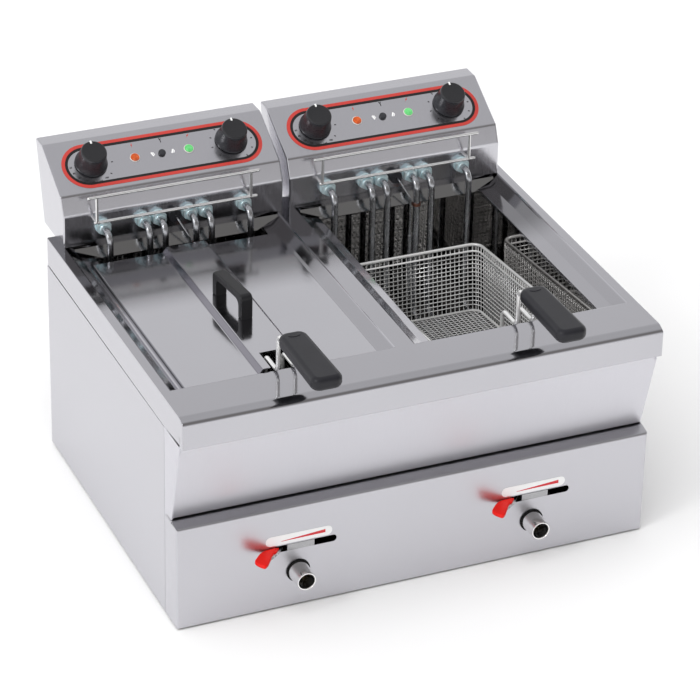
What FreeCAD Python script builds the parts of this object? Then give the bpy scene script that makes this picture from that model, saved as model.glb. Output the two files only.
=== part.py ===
import FreeCAD, Part
import math
import os

# Twin-tank countertop electric fryer. Millimetres, +Z up, origin on the table at the middle of the
# footprint, the front towards -Y. Heights are measured from the table.

# Body
body_width = 600.0
body_depth = 450.0            # lower front panel to rear panel
deck_height = 292.0
foot_height = 3.0
foot_radius = 16.0
foot_inset = 45.0
foot_plug_radius = 4.0
sheet = 1.2
seam = 0.5                    # gap between neighbouring body panels
lower_panel_height = 134.0
ledge_depth = 17.0            # step between the lower and the upper front panel
ledge_rise = 4.0
ledge_flange = 15.0
panel_foot_gap = 2.5          # upper front panel's foot above the ledge
panel_return = 38.0           # how far the front panels wrap round the sides
lip_overhang = 21.0           # the deck's front lip ahead of the lower panel
lip_bevel_run = 9.0
lip_bevel_drop = 4.4
lip_setback = 9.0             # upper front panel's top behind the lip's face
lip_tuck = 14.0               # upper front panel hidden behind the lip
skirt_height = 38.0

# Deck wells and tanks
deck_sheet = 1.5
well_pitch = body_width / 2
well_margin = 11.5            # well's edge to the deck's edge, and to the middle of the divider
tank_floor = 80.0
deck_front_margin = 50.0      # lower front panel to the front fold of the wells
deck_rear_margin = 22.0
well_roll_run = 1.5           # rounded edge at the top of a well
well_roll_drop = 2.0
well_slope_run = 13.0
well_slope_drop = 6.0
well_ledge_run = 15.0         # ledge round the tank, on which a lid rests
well_ledge_drop = 2.0
well_end_run = 1.5            # front and rear walls of a well lean by this much at each fold
collar_height = 5.0

# Drain taps
tap_height = 49.0
nozzle_length = 27.0          # ahead of the front panel
nozzle_tip_radius = 11.7
nozzle_root_radius = 13.0
nozzle_bore_radius = 7.5
nozzle_inset = 8.0            # behind the front panel, up to the valve
nozzle_clearance = 0.5
gasket_radius = 15.3
gasket_thickness = 2.5
valve_radius = 18.0
valve_half_length = 23.0
valve_bore_radius = 7.0
ball_radius = 11.5
ball_clearance = 0.3
stem_setback = 30.0           # lever stem behind the front panel
stem_radius = 5.0
stem_clearance = 0.06
stem_boss_radius = 9.0
drain_pipe_radius = 10.0
drain_bend_radius = 20.0
drain_setback = 48.0          # tank front wall to the drain hole
lever_height = 83.0
lever_thickness = 3.0
lever_width = 7.0
lever_hub_radius = 17.0
lever_hub_height = 14.0
lever_hub_gap = 2.0           # lever's hub above the valve's boss
lever_closed_angle = 40.4     # from straight ahead, towards the left
lever_out = 5.0               # lever's crank ahead of the front panel
paddle_angle = 55.3
paddle_length = 34.0
paddle_width = 18.0
paddle_thickness = 6.0
paddle_neck_width = 10.0
paddle_corner = 4.5
slot_height = 9.0
slot_left = 31.0
slot_right = 48.0

# Heads
head_shift = 3.0              # each head and tank stands this much nearer the middle than its well
head_gap = 9.0                # between the two heads
head_pitch = well_pitch - 2 * head_shift
head_width = head_pitch - head_gap
head_seat = 35.0              # the part of a head that stands on the deck
head_face_height = 41.0
brow_run = 10.0
brow_rise = 23.0
panel_length = 77.0
panel_angle = 30.0
head_top_depth = 23.0
head_back_lean = 26.0
shield_reach = 19.5           # splash shield's lower edge ahead of the head's face
shield_bottom = 11.0          # lower edge below the deck
shield_corner_rise = 13.0     # along the plate, from the lower edge to its outer corners
shield_height = 16.0
shield_lean = 45.0
shield_tank_gap = 8.0         # lower edge's ends to the tank's side walls
shield_side_gap = 10.5        # outer corners to the head's sides
shield_flange = 15.0

# Heating elements, temperature probe and basket rail
element_diameter = 8.5
element_drop = 166.0          # hairpins below the deck
element_reach = 27.0          # legs ahead of the head's face
element_face_height = 22.0    # above the deck
element_tail = 14.0           # inside the head
element_bend_radius = 13.0
element_front_gap = 35.0      # hairpins to the tank's front wall
element_shift = -2.0          # the group sits a little left of the head's middle
hairpin_straight = 1.0
element_side_gap = 18.0       # outer legs to the tank's side walls
inner_legs = (20.0, 40.0)
nut_flats = 17.0
nut_thickness = 7.0
washer_radius = 10.0
washer_thickness = 2.0
probe_diameter = 6.0
probe_length = 90.0
probe_drop = 51.0             # bulb's top below the deck
probe_inset = 18.0            # where the capillary turns down, ahead of the head's face
probe_gap = 1.0
capillary_diameter = 2.2
probe_gland_radius = 8.0
probe_gland_length = 8.0
cable_gland_radius = 11.0
cable_gland_length = 18.0
cable_bore_radius = 5.0
cable_hole_radius = 7.0
cable_gland_offset = 60.0
rail_diameter = 5.0
rail_reach = 11.0
rail_lower_height = 33.0      # above the deck
rail_spacing = 34.0
rail_leg_offset = 99.5
rail_shift = -4.0             # the rail sits a little left too
rail_upper_overhang = 12.5
rail_lower_overhang = 7.5

# Controls
knob_offset = 91.0
knob_rise = 2.0               # knobs above the middle of the sloping panel
knob_radius = 20.3
knob_top_radius = 16.8
knob_height = 26.0
knob_edge = 1.2
knob_clearance = 0.6
pointer_width = 2.4
pointer_depth = 1.0
pointer_length = 8.0
spindle_radius = 3.0
spindle_clearance = 0.06
spindle_length = 14.0         # below the panel's face
thermostat_size = 40.0
thermostat_depth = 30.0
timer_radius = 21.0
timer_depth = 28.0
limiter_size = 24.0
limiter_depth = 26.0
lamp_offset = 35.0
lamp_radius = 5.2
lamp_bezel = 1.0
lamp_height = 2.6
lamp_body_depth = 18.0
button_radius = 4.6
button_height = 3.2
button_travel = 1.5
button_depth = 6.0
button_stem_radius = 2.5
button_stem_length = 6.0
button_clearance = 0.3

# Baskets
basket_side_gap = 17.5        # to the tank's side walls
basket_front_gap = 28.0       # to the tank's front wall
basket_back_gap = 22.0        # to the element legs
basket_drop = 62.0            # rim's back edge below the deck
basket_depth = 96.0
basket_tilt = 5.6             # front end up, as it hangs by its handle
basket_corner = 16.0
mesh_thickness = 2.0
mesh_pitch = 20.0
mesh_bar = 4.0
floor_margin = 8.0            # plain edge round the floor's mesh
wire_diameter = 5.0
wire_gap = 0.3                # wires above the deck they rest on
wire_spacing = 21.5
wire_bend_radius = 8.0
wire_stand_front = 8.0        # standing wires ahead of the well's front fold
grip_height = 50.0            # grip's middle above the deck
grip_setback = 9.0            # standing wires to the grip's end
grip_length = 115.0
grip_width_back = 34.0
grip_width_front = 38.0
grip_thickness = 17.0
grip_corner = 12.0
grip_edge = 5.0
grip_socket = 20.0

# Lid of the left tank
lid_sheet = 1.0
lid_drop = 5.0                # lid sheet below the deck
lid_side_gap = 20.5           # to the well's side edges
lid_front_gap = 2.6           # to the well's front edge
lid_back_gap = 15.0            # to the element legs
lid_seat_gap = 0.3            # hems above the outer edge of the ledge
hump_width = 50.0
hump_rise = 7.0
hump_run = 5.0
notch_width = 31.0
notch_length = 36.0
lid_handle_length = 68.0
lid_handle_width = 21.0
lid_handle_height = 28.0
lid_handle_bar = 9.0
lid_handle_corner = 8.0

# Where the main pieces stand, front to back. grip_reach and head_reach are the furthest points ahead
# of and behind the lower front panel, and the origin lies halfway between them.
panel_slope = math.radians(panel_angle)
well_front = deck_front_margin
wire_stand = well_front - wire_stand_front
grip_reach = grip_length - (wire_stand - grip_setback)
head_face = body_depth - head_seat
head_reach = head_face + brow_run + panel_length * math.cos(panel_slope) + head_top_depth
front_y = (grip_reach - head_reach) / 2
rear_y = front_y + body_depth
head_y = front_y + head_face
well_front_y = front_y + deck_front_margin
well_rear_y = rear_y - deck_rear_margin
tank_front_y = well_front_y + 2 * well_end_run
tank_rear_y = well_rear_y - 2 * well_end_run
well_half = well_pitch / 2 - well_margin
well_ledge_half = well_half - well_roll_run - well_slope_run
well_ledge_top = deck_height - well_roll_drop - well_slope_drop
tank_width = 2 * (well_ledge_half - well_ledge_run)
well_bottom = well_ledge_top - well_ledge_drop
tank_top = well_bottom - collar_height
leg_offsets = (*inner_legs, tank_width / 2 - element_side_gap)
leg_y = head_y - element_reach
element_height = deck_height - element_drop
half_width = body_width / 2
skirt_bottom = deck_height - skirt_height
base_top = foot_height + sheet
well_places = (("left", -well_pitch / 2), ("right", well_pitch / 2))
head_places = (("left", -head_pitch / 2), ("right", head_pitch / 2))


def vec(x, y, z):
    return FreeCAD.Vector(x, y, z)


def box(x0, x1, y0, y1, z0, z1):
    return Part.makeBox(x1 - x0, y1 - y0, z1 - z0, vec(x0, y0, z0))


def cylinder(radius, start, end):
    return Part.makeCylinder(radius, (end - start).Length, start, end - start)


def outline_face(points):
    return Part.Face(Part.makePolygon(points + points[:1]))


def prism_x(outline, x0, x1):
    """A solid with an outline of (y, z) points, from x0 to x1."""
    return outline_face([vec(x0, y, z) for y, z in outline]).extrude(vec(x1 - x0, 0, 0))


def prism_y(outline, y0, y1):
    """A solid with an outline of (x, z) points, from y0 to y1."""
    return outline_face([vec(x, y0, z) for x, z in outline]).extrude(vec(0, y1 - y0, 0))


def prism_z(outline, z0, z1):
    """A solid with an outline of (x, y) points, from z0 to z1."""
    return outline_face([vec(x, y, z0) for x, y in outline]).extrude(vec(0, 0, z1 - z0))


def moved_left(a, b, distance):
    """The line from a to b, moved sideways to its left."""
    share = distance / math.dist(a, b)
    dx = (a[1] - b[1]) * share
    dy = (b[0] - a[0]) * share
    return (a[0] + dx, a[1] + dy), (b[0] + dx, b[1] + dy)


def crossing(line, other):
    """The point where two lines meet, each given by two points."""
    (ax, ay), (bx, by) = line
    (cx, cy), (dx, dy) = other
    spread = (bx - ax) * (dy - cy) - (by - ay) * (dx - cx)
    share = ((cx - ax) * (dy - cy) - (cy - ay) * (dx - cx)) / spread
    return ax + share * (bx - ax), ay + share * (by - ay)


def bent_sheet(points, thickness):
    """The closed outline of a sheet bent along some points, one thickness to the left of them."""
    lines = [moved_left(a, b, thickness) for a, b in zip(points, points[1:])]
    corners = [crossing(line, following) for line, following in zip(lines, lines[1:])]
    return points + [lines[-1][1]] + corners[::-1] + [lines[0][0]]


def inset(points, distances):
    """A closed outline with each edge moved to its left by its own distance."""
    lines = [moved_left(a, b, d) for a, b, d in zip(points, points[1:] + points[:1], distances)]
    return [crossing(lines[i - 1], lines[i]) for i in range(len(lines))]


def bent_path(points, radius):
    """Straight runs joined by tangent arcs of one radius."""
    edges = []
    start = points[0]
    for before, corner, after in zip(points, points[1:], points[2:]):
        back = (before - corner).normalize()
        ahead = (after - corner).normalize()
        half_angle = back.getAngle(ahead) / 2
        reach = radius / math.tan(half_angle)
        arc_start = corner + back * reach
        arc_end = corner + ahead * reach
        middle = corner + (back + ahead).normalize() * (radius / math.sin(half_angle) - radius)
        edges.append(Part.LineSegment(start, arc_start).toShape())
        edges.append(Part.Arc(arc_start, middle, arc_end).toShape())
        start = arc_end
    edges.append(Part.LineSegment(start, points[-1]).toShape())
    return Part.Wire(edges)


def rod(points, bend_radius, diameter):
    """A round rod or tube's outside along a bent path."""
    path = bent_path(points, bend_radius)
    section = Part.Wire(Part.makeCircle(diameter / 2, points[0], points[1] - points[0]))
    return path.makePipeShell([section], True, False)


def rounded_rectangle(width, length, radius):
    """A closed wire in the XY plane, centred in X, from y = 0 forward to y = -length."""
    half = width / 2
    corners = [(half - radius, -radius, 0), (-half + radius, -radius, 90),
               (-half + radius, -length + radius, 180), (half - radius, -length + radius, 270)]
    edges = []
    for i, (x, y, angle) in enumerate(corners):
        points = [vec(x + radius * math.cos(math.radians(angle + turn)),
                      y + radius * math.sin(math.radians(angle + turn)), 0) for turn in (0, 45, 90)]
        edges.append(Part.Arc(*points).toShape())
        following = corners[(i + 1) % 4]
        corner_start = vec(following[0] + radius * math.cos(math.radians(angle + 90)),
                           following[1] + radius * math.sin(math.radians(angle + 90)), 0)
        edges.append(Part.LineSegment(points[2], corner_start).toShape())
    return Part.Wire(edges)


def on_panel(shape, x, along):
    """Sets a shape made about the origin, +Z outwards, on a head's sloping control panel."""
    slope_y = head_y + brow_run + along * math.cos(panel_slope)
    slope_z = deck_height + head_face_height + brow_rise + along * math.sin(panel_slope)
    placed = shape.copy()
    placed.rotate(vec(0, 0, 0), vec(1, 0, 0), panel_angle)
    placed.translate(vec(x, slope_y, slope_z))
    return placed


def turned_about_z(profile):
    """A turned solid with a profile of (radius, height) points."""
    face = outline_face([vec(r, 0, z) for r, z in profile])
    return face.revolve(vec(0, 0, 0), vec(0, 0, 1), 360)


def save(name, *solids):
    shape = solids[0] if len(solids) == 1 else Part.makeCompound(list(solids))
    shape.exportStep("parts/" + name + ".step")


os.makedirs("parts", exist_ok=True)

# Deck: one pressed sheet with a well round each tank, a bevelled front lip with a hem under it, and
# skirts on all sides
lip_y = front_y - lip_overhang
bevel_y = lip_y + lip_bevel_run
bevel_z = deck_height - lip_bevel_drop
deck = box(-half_width, half_width, bevel_y, rear_y, deck_height - deck_sheet, deck_height)
lip_line = [(bevel_y, deck_height), (lip_y, bevel_z), (lip_y, skirt_bottom)]
tuck_y = lip_y + lip_setback
hem_line = lip_line + [(tuck_y - wire_gap, skirt_bottom)]
skirt_outline = [(rear_y, skirt_bottom), (rear_y, deck_height), *lip_line]
deck_pieces = [prism_x(bent_sheet(hem_line, deck_sheet), -half_width, half_width),
               prism_x(skirt_outline, -half_width, -half_width + deck_sheet),
               prism_x(skirt_outline, half_width - deck_sheet, half_width),
               box(-half_width, half_width, rear_y - deck_sheet, rear_y, skirt_bottom, deck_height)]


def well_levels(centre, thickness):
    """The well's rectangles from the deck down to its collar, on its inside or one sheet outside it."""
    tank_x = math.copysign(head_pitch / 2, centre)
    tank_half = tank_width / 2
    roll_z = deck_height - well_roll_drop
    steps = [(centre, well_half, 0, deck_height),
             (centre, well_half - well_roll_run, well_end_run / 2, roll_z - thickness),
             (centre, well_ledge_half, well_end_run, well_ledge_top - thickness),
             (tank_x, tank_half, 2 * well_end_run, well_bottom - thickness),
             (tank_x, tank_half, 2 * well_end_run, tank_top)]
    levels = []
    for x, half, lean, z in steps:
        left = x - half - thickness
        right = x + half + thickness
        front = well_front_y + lean - thickness
        rear = well_rear_y - lean + thickness
        points = [vec(left, front, z), vec(right, front, z), vec(right, rear, z), vec(left, rear, z)]
        levels.append(Part.makePolygon(points + points[:1]))
    return levels


for side, centre in well_places:
    mouth = Part.makeLoft(well_levels(centre, 0), True, True)
    outside = Part.makeLoft(well_levels(centre, deck_sheet), True, True)
    deck = deck.cut(mouth)
    deck_pieces.append(outside.cut(mouth))
save("deck", deck.fuse(deck_pieces).removeSplitter())

# Tanks: folded open boxes welded under the wells' collars, with a drain hole near the front
drain_y = tank_front_y + drain_setback
drain_bore = drain_pipe_radius - 2 * sheet
for (side, centre), (_, tap_x) in zip(head_places, well_places):
    half = tank_width / 2
    tank = box(centre - half - sheet, centre + half + sheet, tank_front_y - sheet, tank_rear_y + sheet,
               tank_floor - sheet, tank_top)
    tank = tank.cut(box(centre - half, centre + half, tank_front_y, tank_rear_y, tank_floor, tank_top))
    hole_low = vec(tap_x, drain_y, tank_floor - sheet)
    save(side + "_tank", tank.cut(cylinder(drain_bore, hole_low, hole_low + vec(0, 0, sheet))))

# Lower front panel: wraps round the sides, with a ledge on top, a slot and a nozzle hole for each tap
ledge_back = front_y + ledge_depth
panel_top = foot_height + lower_panel_height
ledge_z = panel_top + ledge_rise
panel_line = [(ledge_back + ledge_flange, ledge_z), (ledge_back, ledge_z), (front_y, panel_top),
              (front_y, foot_height)]
return_y = front_y + panel_return
lower_panel = prism_x(bent_sheet(panel_line, sheet), -half_width, half_width)
for x0 in (-half_width, half_width - sheet):
    lower_panel = lower_panel.fuse(box(x0, x0 + sheet, front_y, return_y, foot_height, panel_top))
for x0 in (-half_width, half_width - sheet - seam):
    lower_panel = lower_panel.cut(box(x0, x0 + sheet + seam, ledge_back, return_y, panel_top, ledge_z))
slot_radius = slot_height / 2
for side, centre in well_places:
    slot = box(centre - slot_left + slot_radius, centre + slot_right - slot_radius, front_y - sheet,
               front_y + 2 * sheet, lever_height - slot_radius, lever_height + slot_radius)
    for x in (centre - slot_left + slot_radius, centre + slot_right - slot_radius):
        slot = slot.fuse(cylinder(slot_radius, vec(x, front_y - sheet, lever_height),
                                  vec(x, front_y + 2 * sheet, lever_height)))
    hole = cylinder(nozzle_root_radius + nozzle_clearance, vec(centre, front_y - sheet, tap_height),
                    vec(centre, front_y + 2 * sheet, tap_height))
    lower_panel = lower_panel.cut(slot).cut(hole)
save("lower_front_panel", lower_panel.removeSplitter())

# Upper front panel: leans forward from the ledge up to its edge, which is tucked behind the lip
slant_line = [(tuck_y, skirt_bottom + lip_tuck), (tuck_y, skirt_bottom),
              (ledge_back + wire_gap, ledge_z + panel_foot_gap)]
upper_panel = prism_x(bent_sheet(slant_line, sheet), -half_width, half_width)
return_top = skirt_bottom - seam
slant_top = crossing(slant_line[1:], ((front_y, return_top), (rear_y, return_top)))
return_outline = [slant_top, slant_line[2], (ledge_back + wire_gap, panel_top + seam),
                  (return_y, panel_top + seam), (return_y, return_top)]
for x0 in (-half_width, half_width - sheet):
    upper_panel = upper_panel.fuse(prism_x(return_outline, x0, x0 + sheet))
for x0 in (-half_width, half_width - deck_sheet - seam):
    upper_panel = upper_panel.cut(box(x0, x0 + deck_sheet + seam, lip_y, rear_y, return_top, deck_height))
save("upper_front_panel", upper_panel.removeSplitter())

# Sides, back and bottom
for side, x0 in (("left", -half_width), ("right", half_width - sheet)):
    save(side + "_side_panel", box(x0, x0 + sheet, return_y + seam, rear_y, foot_height, return_top))
inner_half = half_width - sheet
save("rear_panel", box(-inner_half, inner_half, rear_y - sheet, rear_y, foot_height, return_top))
base_pan = box(-inner_half, inner_half, front_y + sheet, rear_y - sheet, foot_height, base_top)
foot_spots = [(x, y) for x in (-half_width + foot_inset, half_width - foot_inset)
              for y in (front_y + foot_inset, rear_y - foot_inset)]
feet = []
for x, y in foot_spots:
    plug = cylinder(foot_plug_radius, vec(x, y, foot_height), vec(x, y, base_top))
    base_pan = base_pan.cut(plug)
    feet.append(cylinder(foot_radius, vec(x, y, 0), vec(x, y, foot_height)).fuse(plug))
save("base_pan", base_pan)
save("rubber_feet", *feet)

# Drain taps: pipe from the tank's floor, ball valve, nozzle through the front panel and its gasket
stem_y = front_y + stem_setback
hub_bottom = lever_height - lever_hub_height / 2
hub_top = lever_height + lever_hub_height / 2
boss_top = hub_bottom - lever_hub_gap
valve_front = front_y + nozzle_inset
valve_rear = valve_front + 2 * valve_half_length
drain_pipes = []
valve_bodies = []
nozzles = []
gaskets = []
for side, centre in well_places:
    pipe_points = [vec(centre, drain_y, tank_floor - sheet), vec(centre, drain_y, tap_height),
                   vec(centre, valve_rear, tap_height)]
    pipe = rod(pipe_points, drain_bend_radius, 2 * drain_pipe_radius)
    drain_pipes.append(pipe.cut(rod(pipe_points, drain_bend_radius, 2 * drain_bore)))

    ball_centre = vec(centre, stem_y, tap_height)
    body = cylinder(valve_radius, vec(centre, valve_front, tap_height), vec(centre, valve_rear, tap_height))
    body = body.fuse(cylinder(stem_boss_radius, ball_centre, vec(centre, stem_y, boss_top)))
    body = body.cut(cylinder(valve_bore_radius, vec(centre, valve_front, tap_height),
                             vec(centre, valve_rear, tap_height)))
    body = body.cut(Part.makeSphere(ball_radius + ball_clearance, ball_centre))
    body = body.cut(cylinder(stem_radius + stem_clearance, ball_centre, vec(centre, stem_y, hub_bottom)))
    valve_bodies.append(body)

    nozzle_end = front_y - nozzle_length
    nozzle = Part.makeCone(nozzle_tip_radius, nozzle_root_radius, nozzle_length,
                           vec(centre, nozzle_end, tap_height), vec(0, 1, 0))
    nozzle = nozzle.fuse(cylinder(nozzle_root_radius, vec(centre, front_y, tap_height),
                                  vec(centre, valve_front, tap_height)))
    nozzles.append(nozzle.cut(cylinder(nozzle_bore_radius, vec(centre, nozzle_end, tap_height),
                                       vec(centre, valve_front, tap_height))))
    gasket_front = vec(centre, front_y - gasket_thickness, tap_height)
    gasket_back = vec(centre, front_y, tap_height)
    gasket = cylinder(gasket_radius, gasket_front, gasket_back)
    gaskets.append(gasket.cut(cylinder(nozzle_root_radius, gasket_front, gasket_back)))
save("drain_pipes", *drain_pipes)
save("valve_bodies", *valve_bodies)
save("drain_nozzles", *nozzles)
save("nozzle_gaskets", *gaskets)

# Tap levers: ball and stem, cranked strip on its hub, and the dipped paddle, all turning about the stem
for side, centre in well_places:
    ball_centre = vec(centre, stem_y, tap_height)
    ball = Part.makeSphere(ball_radius, ball_centre)
    ball = ball.fuse(cylinder(stem_radius, ball_centre, vec(centre, stem_y, hub_top)))
    ball = ball.cut(cylinder(valve_bore_radius, ball_centre - vec(ball_radius, 0, 0),
                             ball_centre + vec(ball_radius, 0, 0)))
    save(side + "_valve_ball", ball)

    closed = math.radians(lever_closed_angle)
    crank_reach = (stem_setback + lever_out) / math.cos(closed)
    crank = (centre - crank_reach * math.sin(closed), stem_y - crank_reach * math.cos(closed))
    paddle_turn = math.radians(paddle_angle)
    paddle_end = (crank[0] - paddle_length * math.sin(paddle_turn),
                  crank[1] - paddle_length * math.cos(paddle_turn))
    strip_end = ((crank[0] + paddle_end[0]) / 2, (crank[1] + paddle_end[1]) / 2)
    strip_line = [(centre, stem_y), crank, strip_end]
    strip_edge = [moved_left(a, b, -lever_width / 2) for a, b in zip(strip_line, strip_line[1:])]
    strip_start = [strip_edge[0][0], crossing(*strip_edge), strip_edge[1][1]]
    strip = prism_z(bent_sheet(strip_start, lever_width), lever_height - lever_thickness / 2,
                    lever_height + lever_thickness / 2)
    hub = cylinder(lever_hub_radius, vec(centre, stem_y, hub_bottom), vec(centre, stem_y, hub_top))
    stem_hole = cylinder(stem_radius, vec(centre, stem_y, hub_bottom), vec(centre, stem_y, hub_top))
    lever = hub.fuse(strip).cut(stem_hole)
    save(side + "_drain_lever", lever)

    neck = [moved_left(crank, paddle_end, s * paddle_neck_width / 2)[0] for s in (1, -1)]
    tip = [moved_left(crank, paddle_end, s * paddle_width / 2)[1] for s in (-1, 1)]
    paddle = prism_z(neck + tip, lever_height - paddle_thickness / 2, lever_height + paddle_thickness / 2)
    tip_edges = [edge for edge in paddle.Edges if edge.Vertexes[0].Z != edge.Vertexes[-1].Z
                 and math.dist((edge.CenterOfMass.x, edge.CenterOfMass.y), crank) > paddle_length]
    paddle = paddle.makeFillet(paddle_corner, tip_edges)
    save(side + "_lever_paddle", paddle.cut(lever))

# Heads: folded control boxes with a cover at the back and bottom, standing on the rear of the deck
face_top = deck_height + head_face_height
brow_top = face_top + brow_rise
panel_top_y = head_y + brow_run + panel_length * math.cos(panel_slope)
head_top = brow_top + panel_length * math.sin(panel_slope)
head_back = panel_top_y + head_top_depth
panel_middle = panel_length / 2
knob_along = panel_middle + knob_rise
head_outline = [(head_y, deck_height), (head_back - head_back_lean, deck_height), (head_back, head_top),
                (panel_top_y, head_top), (head_y + brow_run, brow_top), (head_y, face_top)]
shell_inside = inset(head_outline, (-sheet, -sheet, sheet, sheet, sheet, sheet))
cover_outside = inset(head_outline, (0, 0, sheet, sheet, sheet, sheet))
cover_inside = inset(head_outline, (sheet, sheet, -sheet, -sheet, -sheet, -sheet))
element_z = deck_height + element_face_height
tail_y = head_y + element_tail
hairpin_front_y = tank_front_y + element_front_gap
element_pairs = ((-leg_offsets[2], -leg_offsets[1]), (-leg_offsets[0], leg_offsets[0]),
                 (leg_offsets[1], leg_offsets[2]))
control_hole = spindle_radius + knob_clearance
button_hole = button_radius + button_clearance
for side, centre in head_places:
    group_x = centre + element_shift
    leg_xs = [group_x + offset for pair in element_pairs for offset in pair]
    x0 = centre - head_width / 2
    x1 = centre + head_width / 2
    shell = prism_x(head_outline, x0, x1).cut(prism_x(shell_inside, x0 + sheet, x1 - sheet))
    for x in leg_xs:
        leg_hole = cylinder(element_diameter / 2, vec(x, head_y, element_z), vec(x, tail_y, element_z))
        shell = shell.cut(leg_hole)
    shell = shell.cut(cylinder(capillary_diameter / 2, vec(group_x, head_y, element_z),
                               vec(group_x, tail_y, element_z)))
    panel_holes = [(0, panel_middle, button_hole)]
    for s in (-1, 1):
        panel_holes.append((s * knob_offset, knob_along, control_hole))
        panel_holes.append((s * lamp_offset, panel_middle, lamp_radius))
    for offset, along, radius in panel_holes:
        drill = cylinder(radius, vec(0, 0, -2 * sheet), vec(0, 0, sheet))
        shell = shell.cut(on_panel(drill, centre + offset, along))
    save(side + "_head_shell", shell)

    cover = prism_x(cover_outside, x0 + sheet, x1 - sheet).cut(prism_x(cover_inside, x0 + sheet, x1 - sheet))
    gland_x = centre + cable_gland_offset
    gland_y = (rear_y + head_back - head_back_lean) / 2
    gland_low = vec(gland_x, gland_y, deck_height - cable_gland_length)
    cover = cover.cut(cylinder(cable_hole_radius, gland_low, vec(gland_x, gland_y, face_top)))
    save(side + "_head_cover", cover)

    # Splash shield: a plate leaning back towards the head's face, its lower corners cut off to clear
    # the well, held by a flange under the head
    low_half = tank_width / 2 - shield_tank_gap
    high_half = head_width / 2 - shield_side_gap
    shield_outline = [(centre - low_half, 0), (centre + low_half, 0),
                      (centre + high_half, shield_corner_rise), (centre + high_half, shield_height),
                      (centre - high_half, shield_height), (centre - high_half, shield_corner_rise)]
    shield = prism_y(shield_outline, 0, sheet)
    shield.rotate(vec(0, 0, 0), vec(1, 0, 0), -shield_lean)
    shield.translate(vec(0, head_y - shield_reach, deck_height - shield_bottom))
    flange_y = head_y - shield_reach + shield_bottom * math.tan(math.radians(shield_lean)) + sheet / 2
    shield = shield.fuse(box(centre - low_half, centre + low_half, flange_y, flange_y + shield_flange,
                             deck_height - sheet, deck_height))
    save(side + "_splash_shield", shield.removeSplitter())

    # Heating elements: three tubes, each out of the face, down the back of the tank and round a hairpin
    elements = []
    for left, right in element_pairs:
        xa = group_x + left
        xb = group_x + right
        legs = [vec(xa, tail_y, element_z), vec(xa, leg_y, element_z), vec(xa, leg_y, element_height),
                vec(xa, hairpin_front_y, element_height), vec(xb, hairpin_front_y, element_height),
                vec(xb, leg_y, element_height), vec(xb, leg_y, element_z), vec(xb, tail_y, element_z)]
        bend_radius = min(element_bend_radius, (xb - xa - hairpin_straight) / 2)
        elements.append(rod(legs, bend_radius, element_diameter))
    save(side + "_heating_elements", *elements)

    nuts = []
    nut_radius = nut_flats / math.sqrt(3)
    washer_y = head_y - washer_thickness
    for x in leg_xs:
        hexagon = [(x + nut_radius * math.cos(math.radians(angle)),
                    element_z + nut_radius * math.sin(math.radians(angle))) for angle in range(0, 360, 60)]
        nut = prism_y(hexagon, washer_y - nut_thickness, washer_y)
        washer = cylinder(washer_radius, vec(x, washer_y, element_z), vec(x, head_y, element_z))
        bore = cylinder(element_diameter / 2, vec(x, leg_y, element_z), vec(x, head_y, element_z))
        nuts.append(nut.fuse(washer).cut(bore))
    save(side + "_element_nuts", *nuts)

    # Temperature probe: a bulb beside an element leg, its capillary going back through a gland
    probe_x = leg_xs[3] - (element_diameter + probe_diameter) / 2 - probe_gap
    probe_top = vec(probe_x, leg_y, deck_height - probe_drop)
    capillary_points = [vec(group_x, tail_y, element_z), vec(group_x, head_y - probe_inset, element_z),
                        vec(probe_x, leg_y, deck_height), probe_top]
    capillary = rod(capillary_points, probe_diameter, capillary_diameter)
    bulb = cylinder(probe_diameter / 2, probe_top - vec(0, 0, probe_length), probe_top)
    save(side + "_temperature_probe", capillary.fuse(bulb))
    probe_hole = vec(group_x, head_y, element_z)
    gland_end = probe_hole - vec(0, probe_gland_length, 0)
    probe_gland = cylinder(probe_gland_radius, gland_end, probe_hole)
    probe_gland = probe_gland.cut(cylinder(capillary_diameter / 2, gland_end, probe_hole))
    gland_top = vec(gland_x, gland_y, deck_height)
    cable_gland = cylinder(cable_gland_radius, gland_low, gland_top)
    cable_gland = cable_gland.cut(cylinder(cable_bore_radius, gland_low, gland_top))
    save(side + "_glands", probe_gland, cable_gland)

    # Basket rail: two rods on two legs, held off the head's face by pins
    rail_y = head_y - rail_reach
    rail_low = deck_height + rail_lower_height
    rail_high = rail_low + rail_spacing
    rail_radius = rail_diameter / 2
    upper_half = rail_leg_offset + rail_upper_overhang
    lower_half = rail_leg_offset + rail_lower_overhang
    rail_x = centre + rail_shift
    rail = cylinder(rail_radius, vec(rail_x - upper_half, rail_y, rail_high),
                    vec(rail_x + upper_half, rail_y, rail_high))
    rail = rail.fuse(cylinder(rail_radius, vec(rail_x - lower_half, rail_y, rail_low),
                              vec(rail_x + lower_half, rail_y, rail_low)))
    for x in (rail_x - rail_leg_offset, rail_x + rail_leg_offset):
        rail = rail.fuse(cylinder(rail_radius, vec(x, rail_y, rail_low), vec(x, rail_y, rail_high)))
        rail = rail.fuse(cylinder(rail_radius, vec(x, rail_y, rail_low), vec(x, head_y, rail_low)))
    save(side + "_basket_rail", rail)

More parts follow.
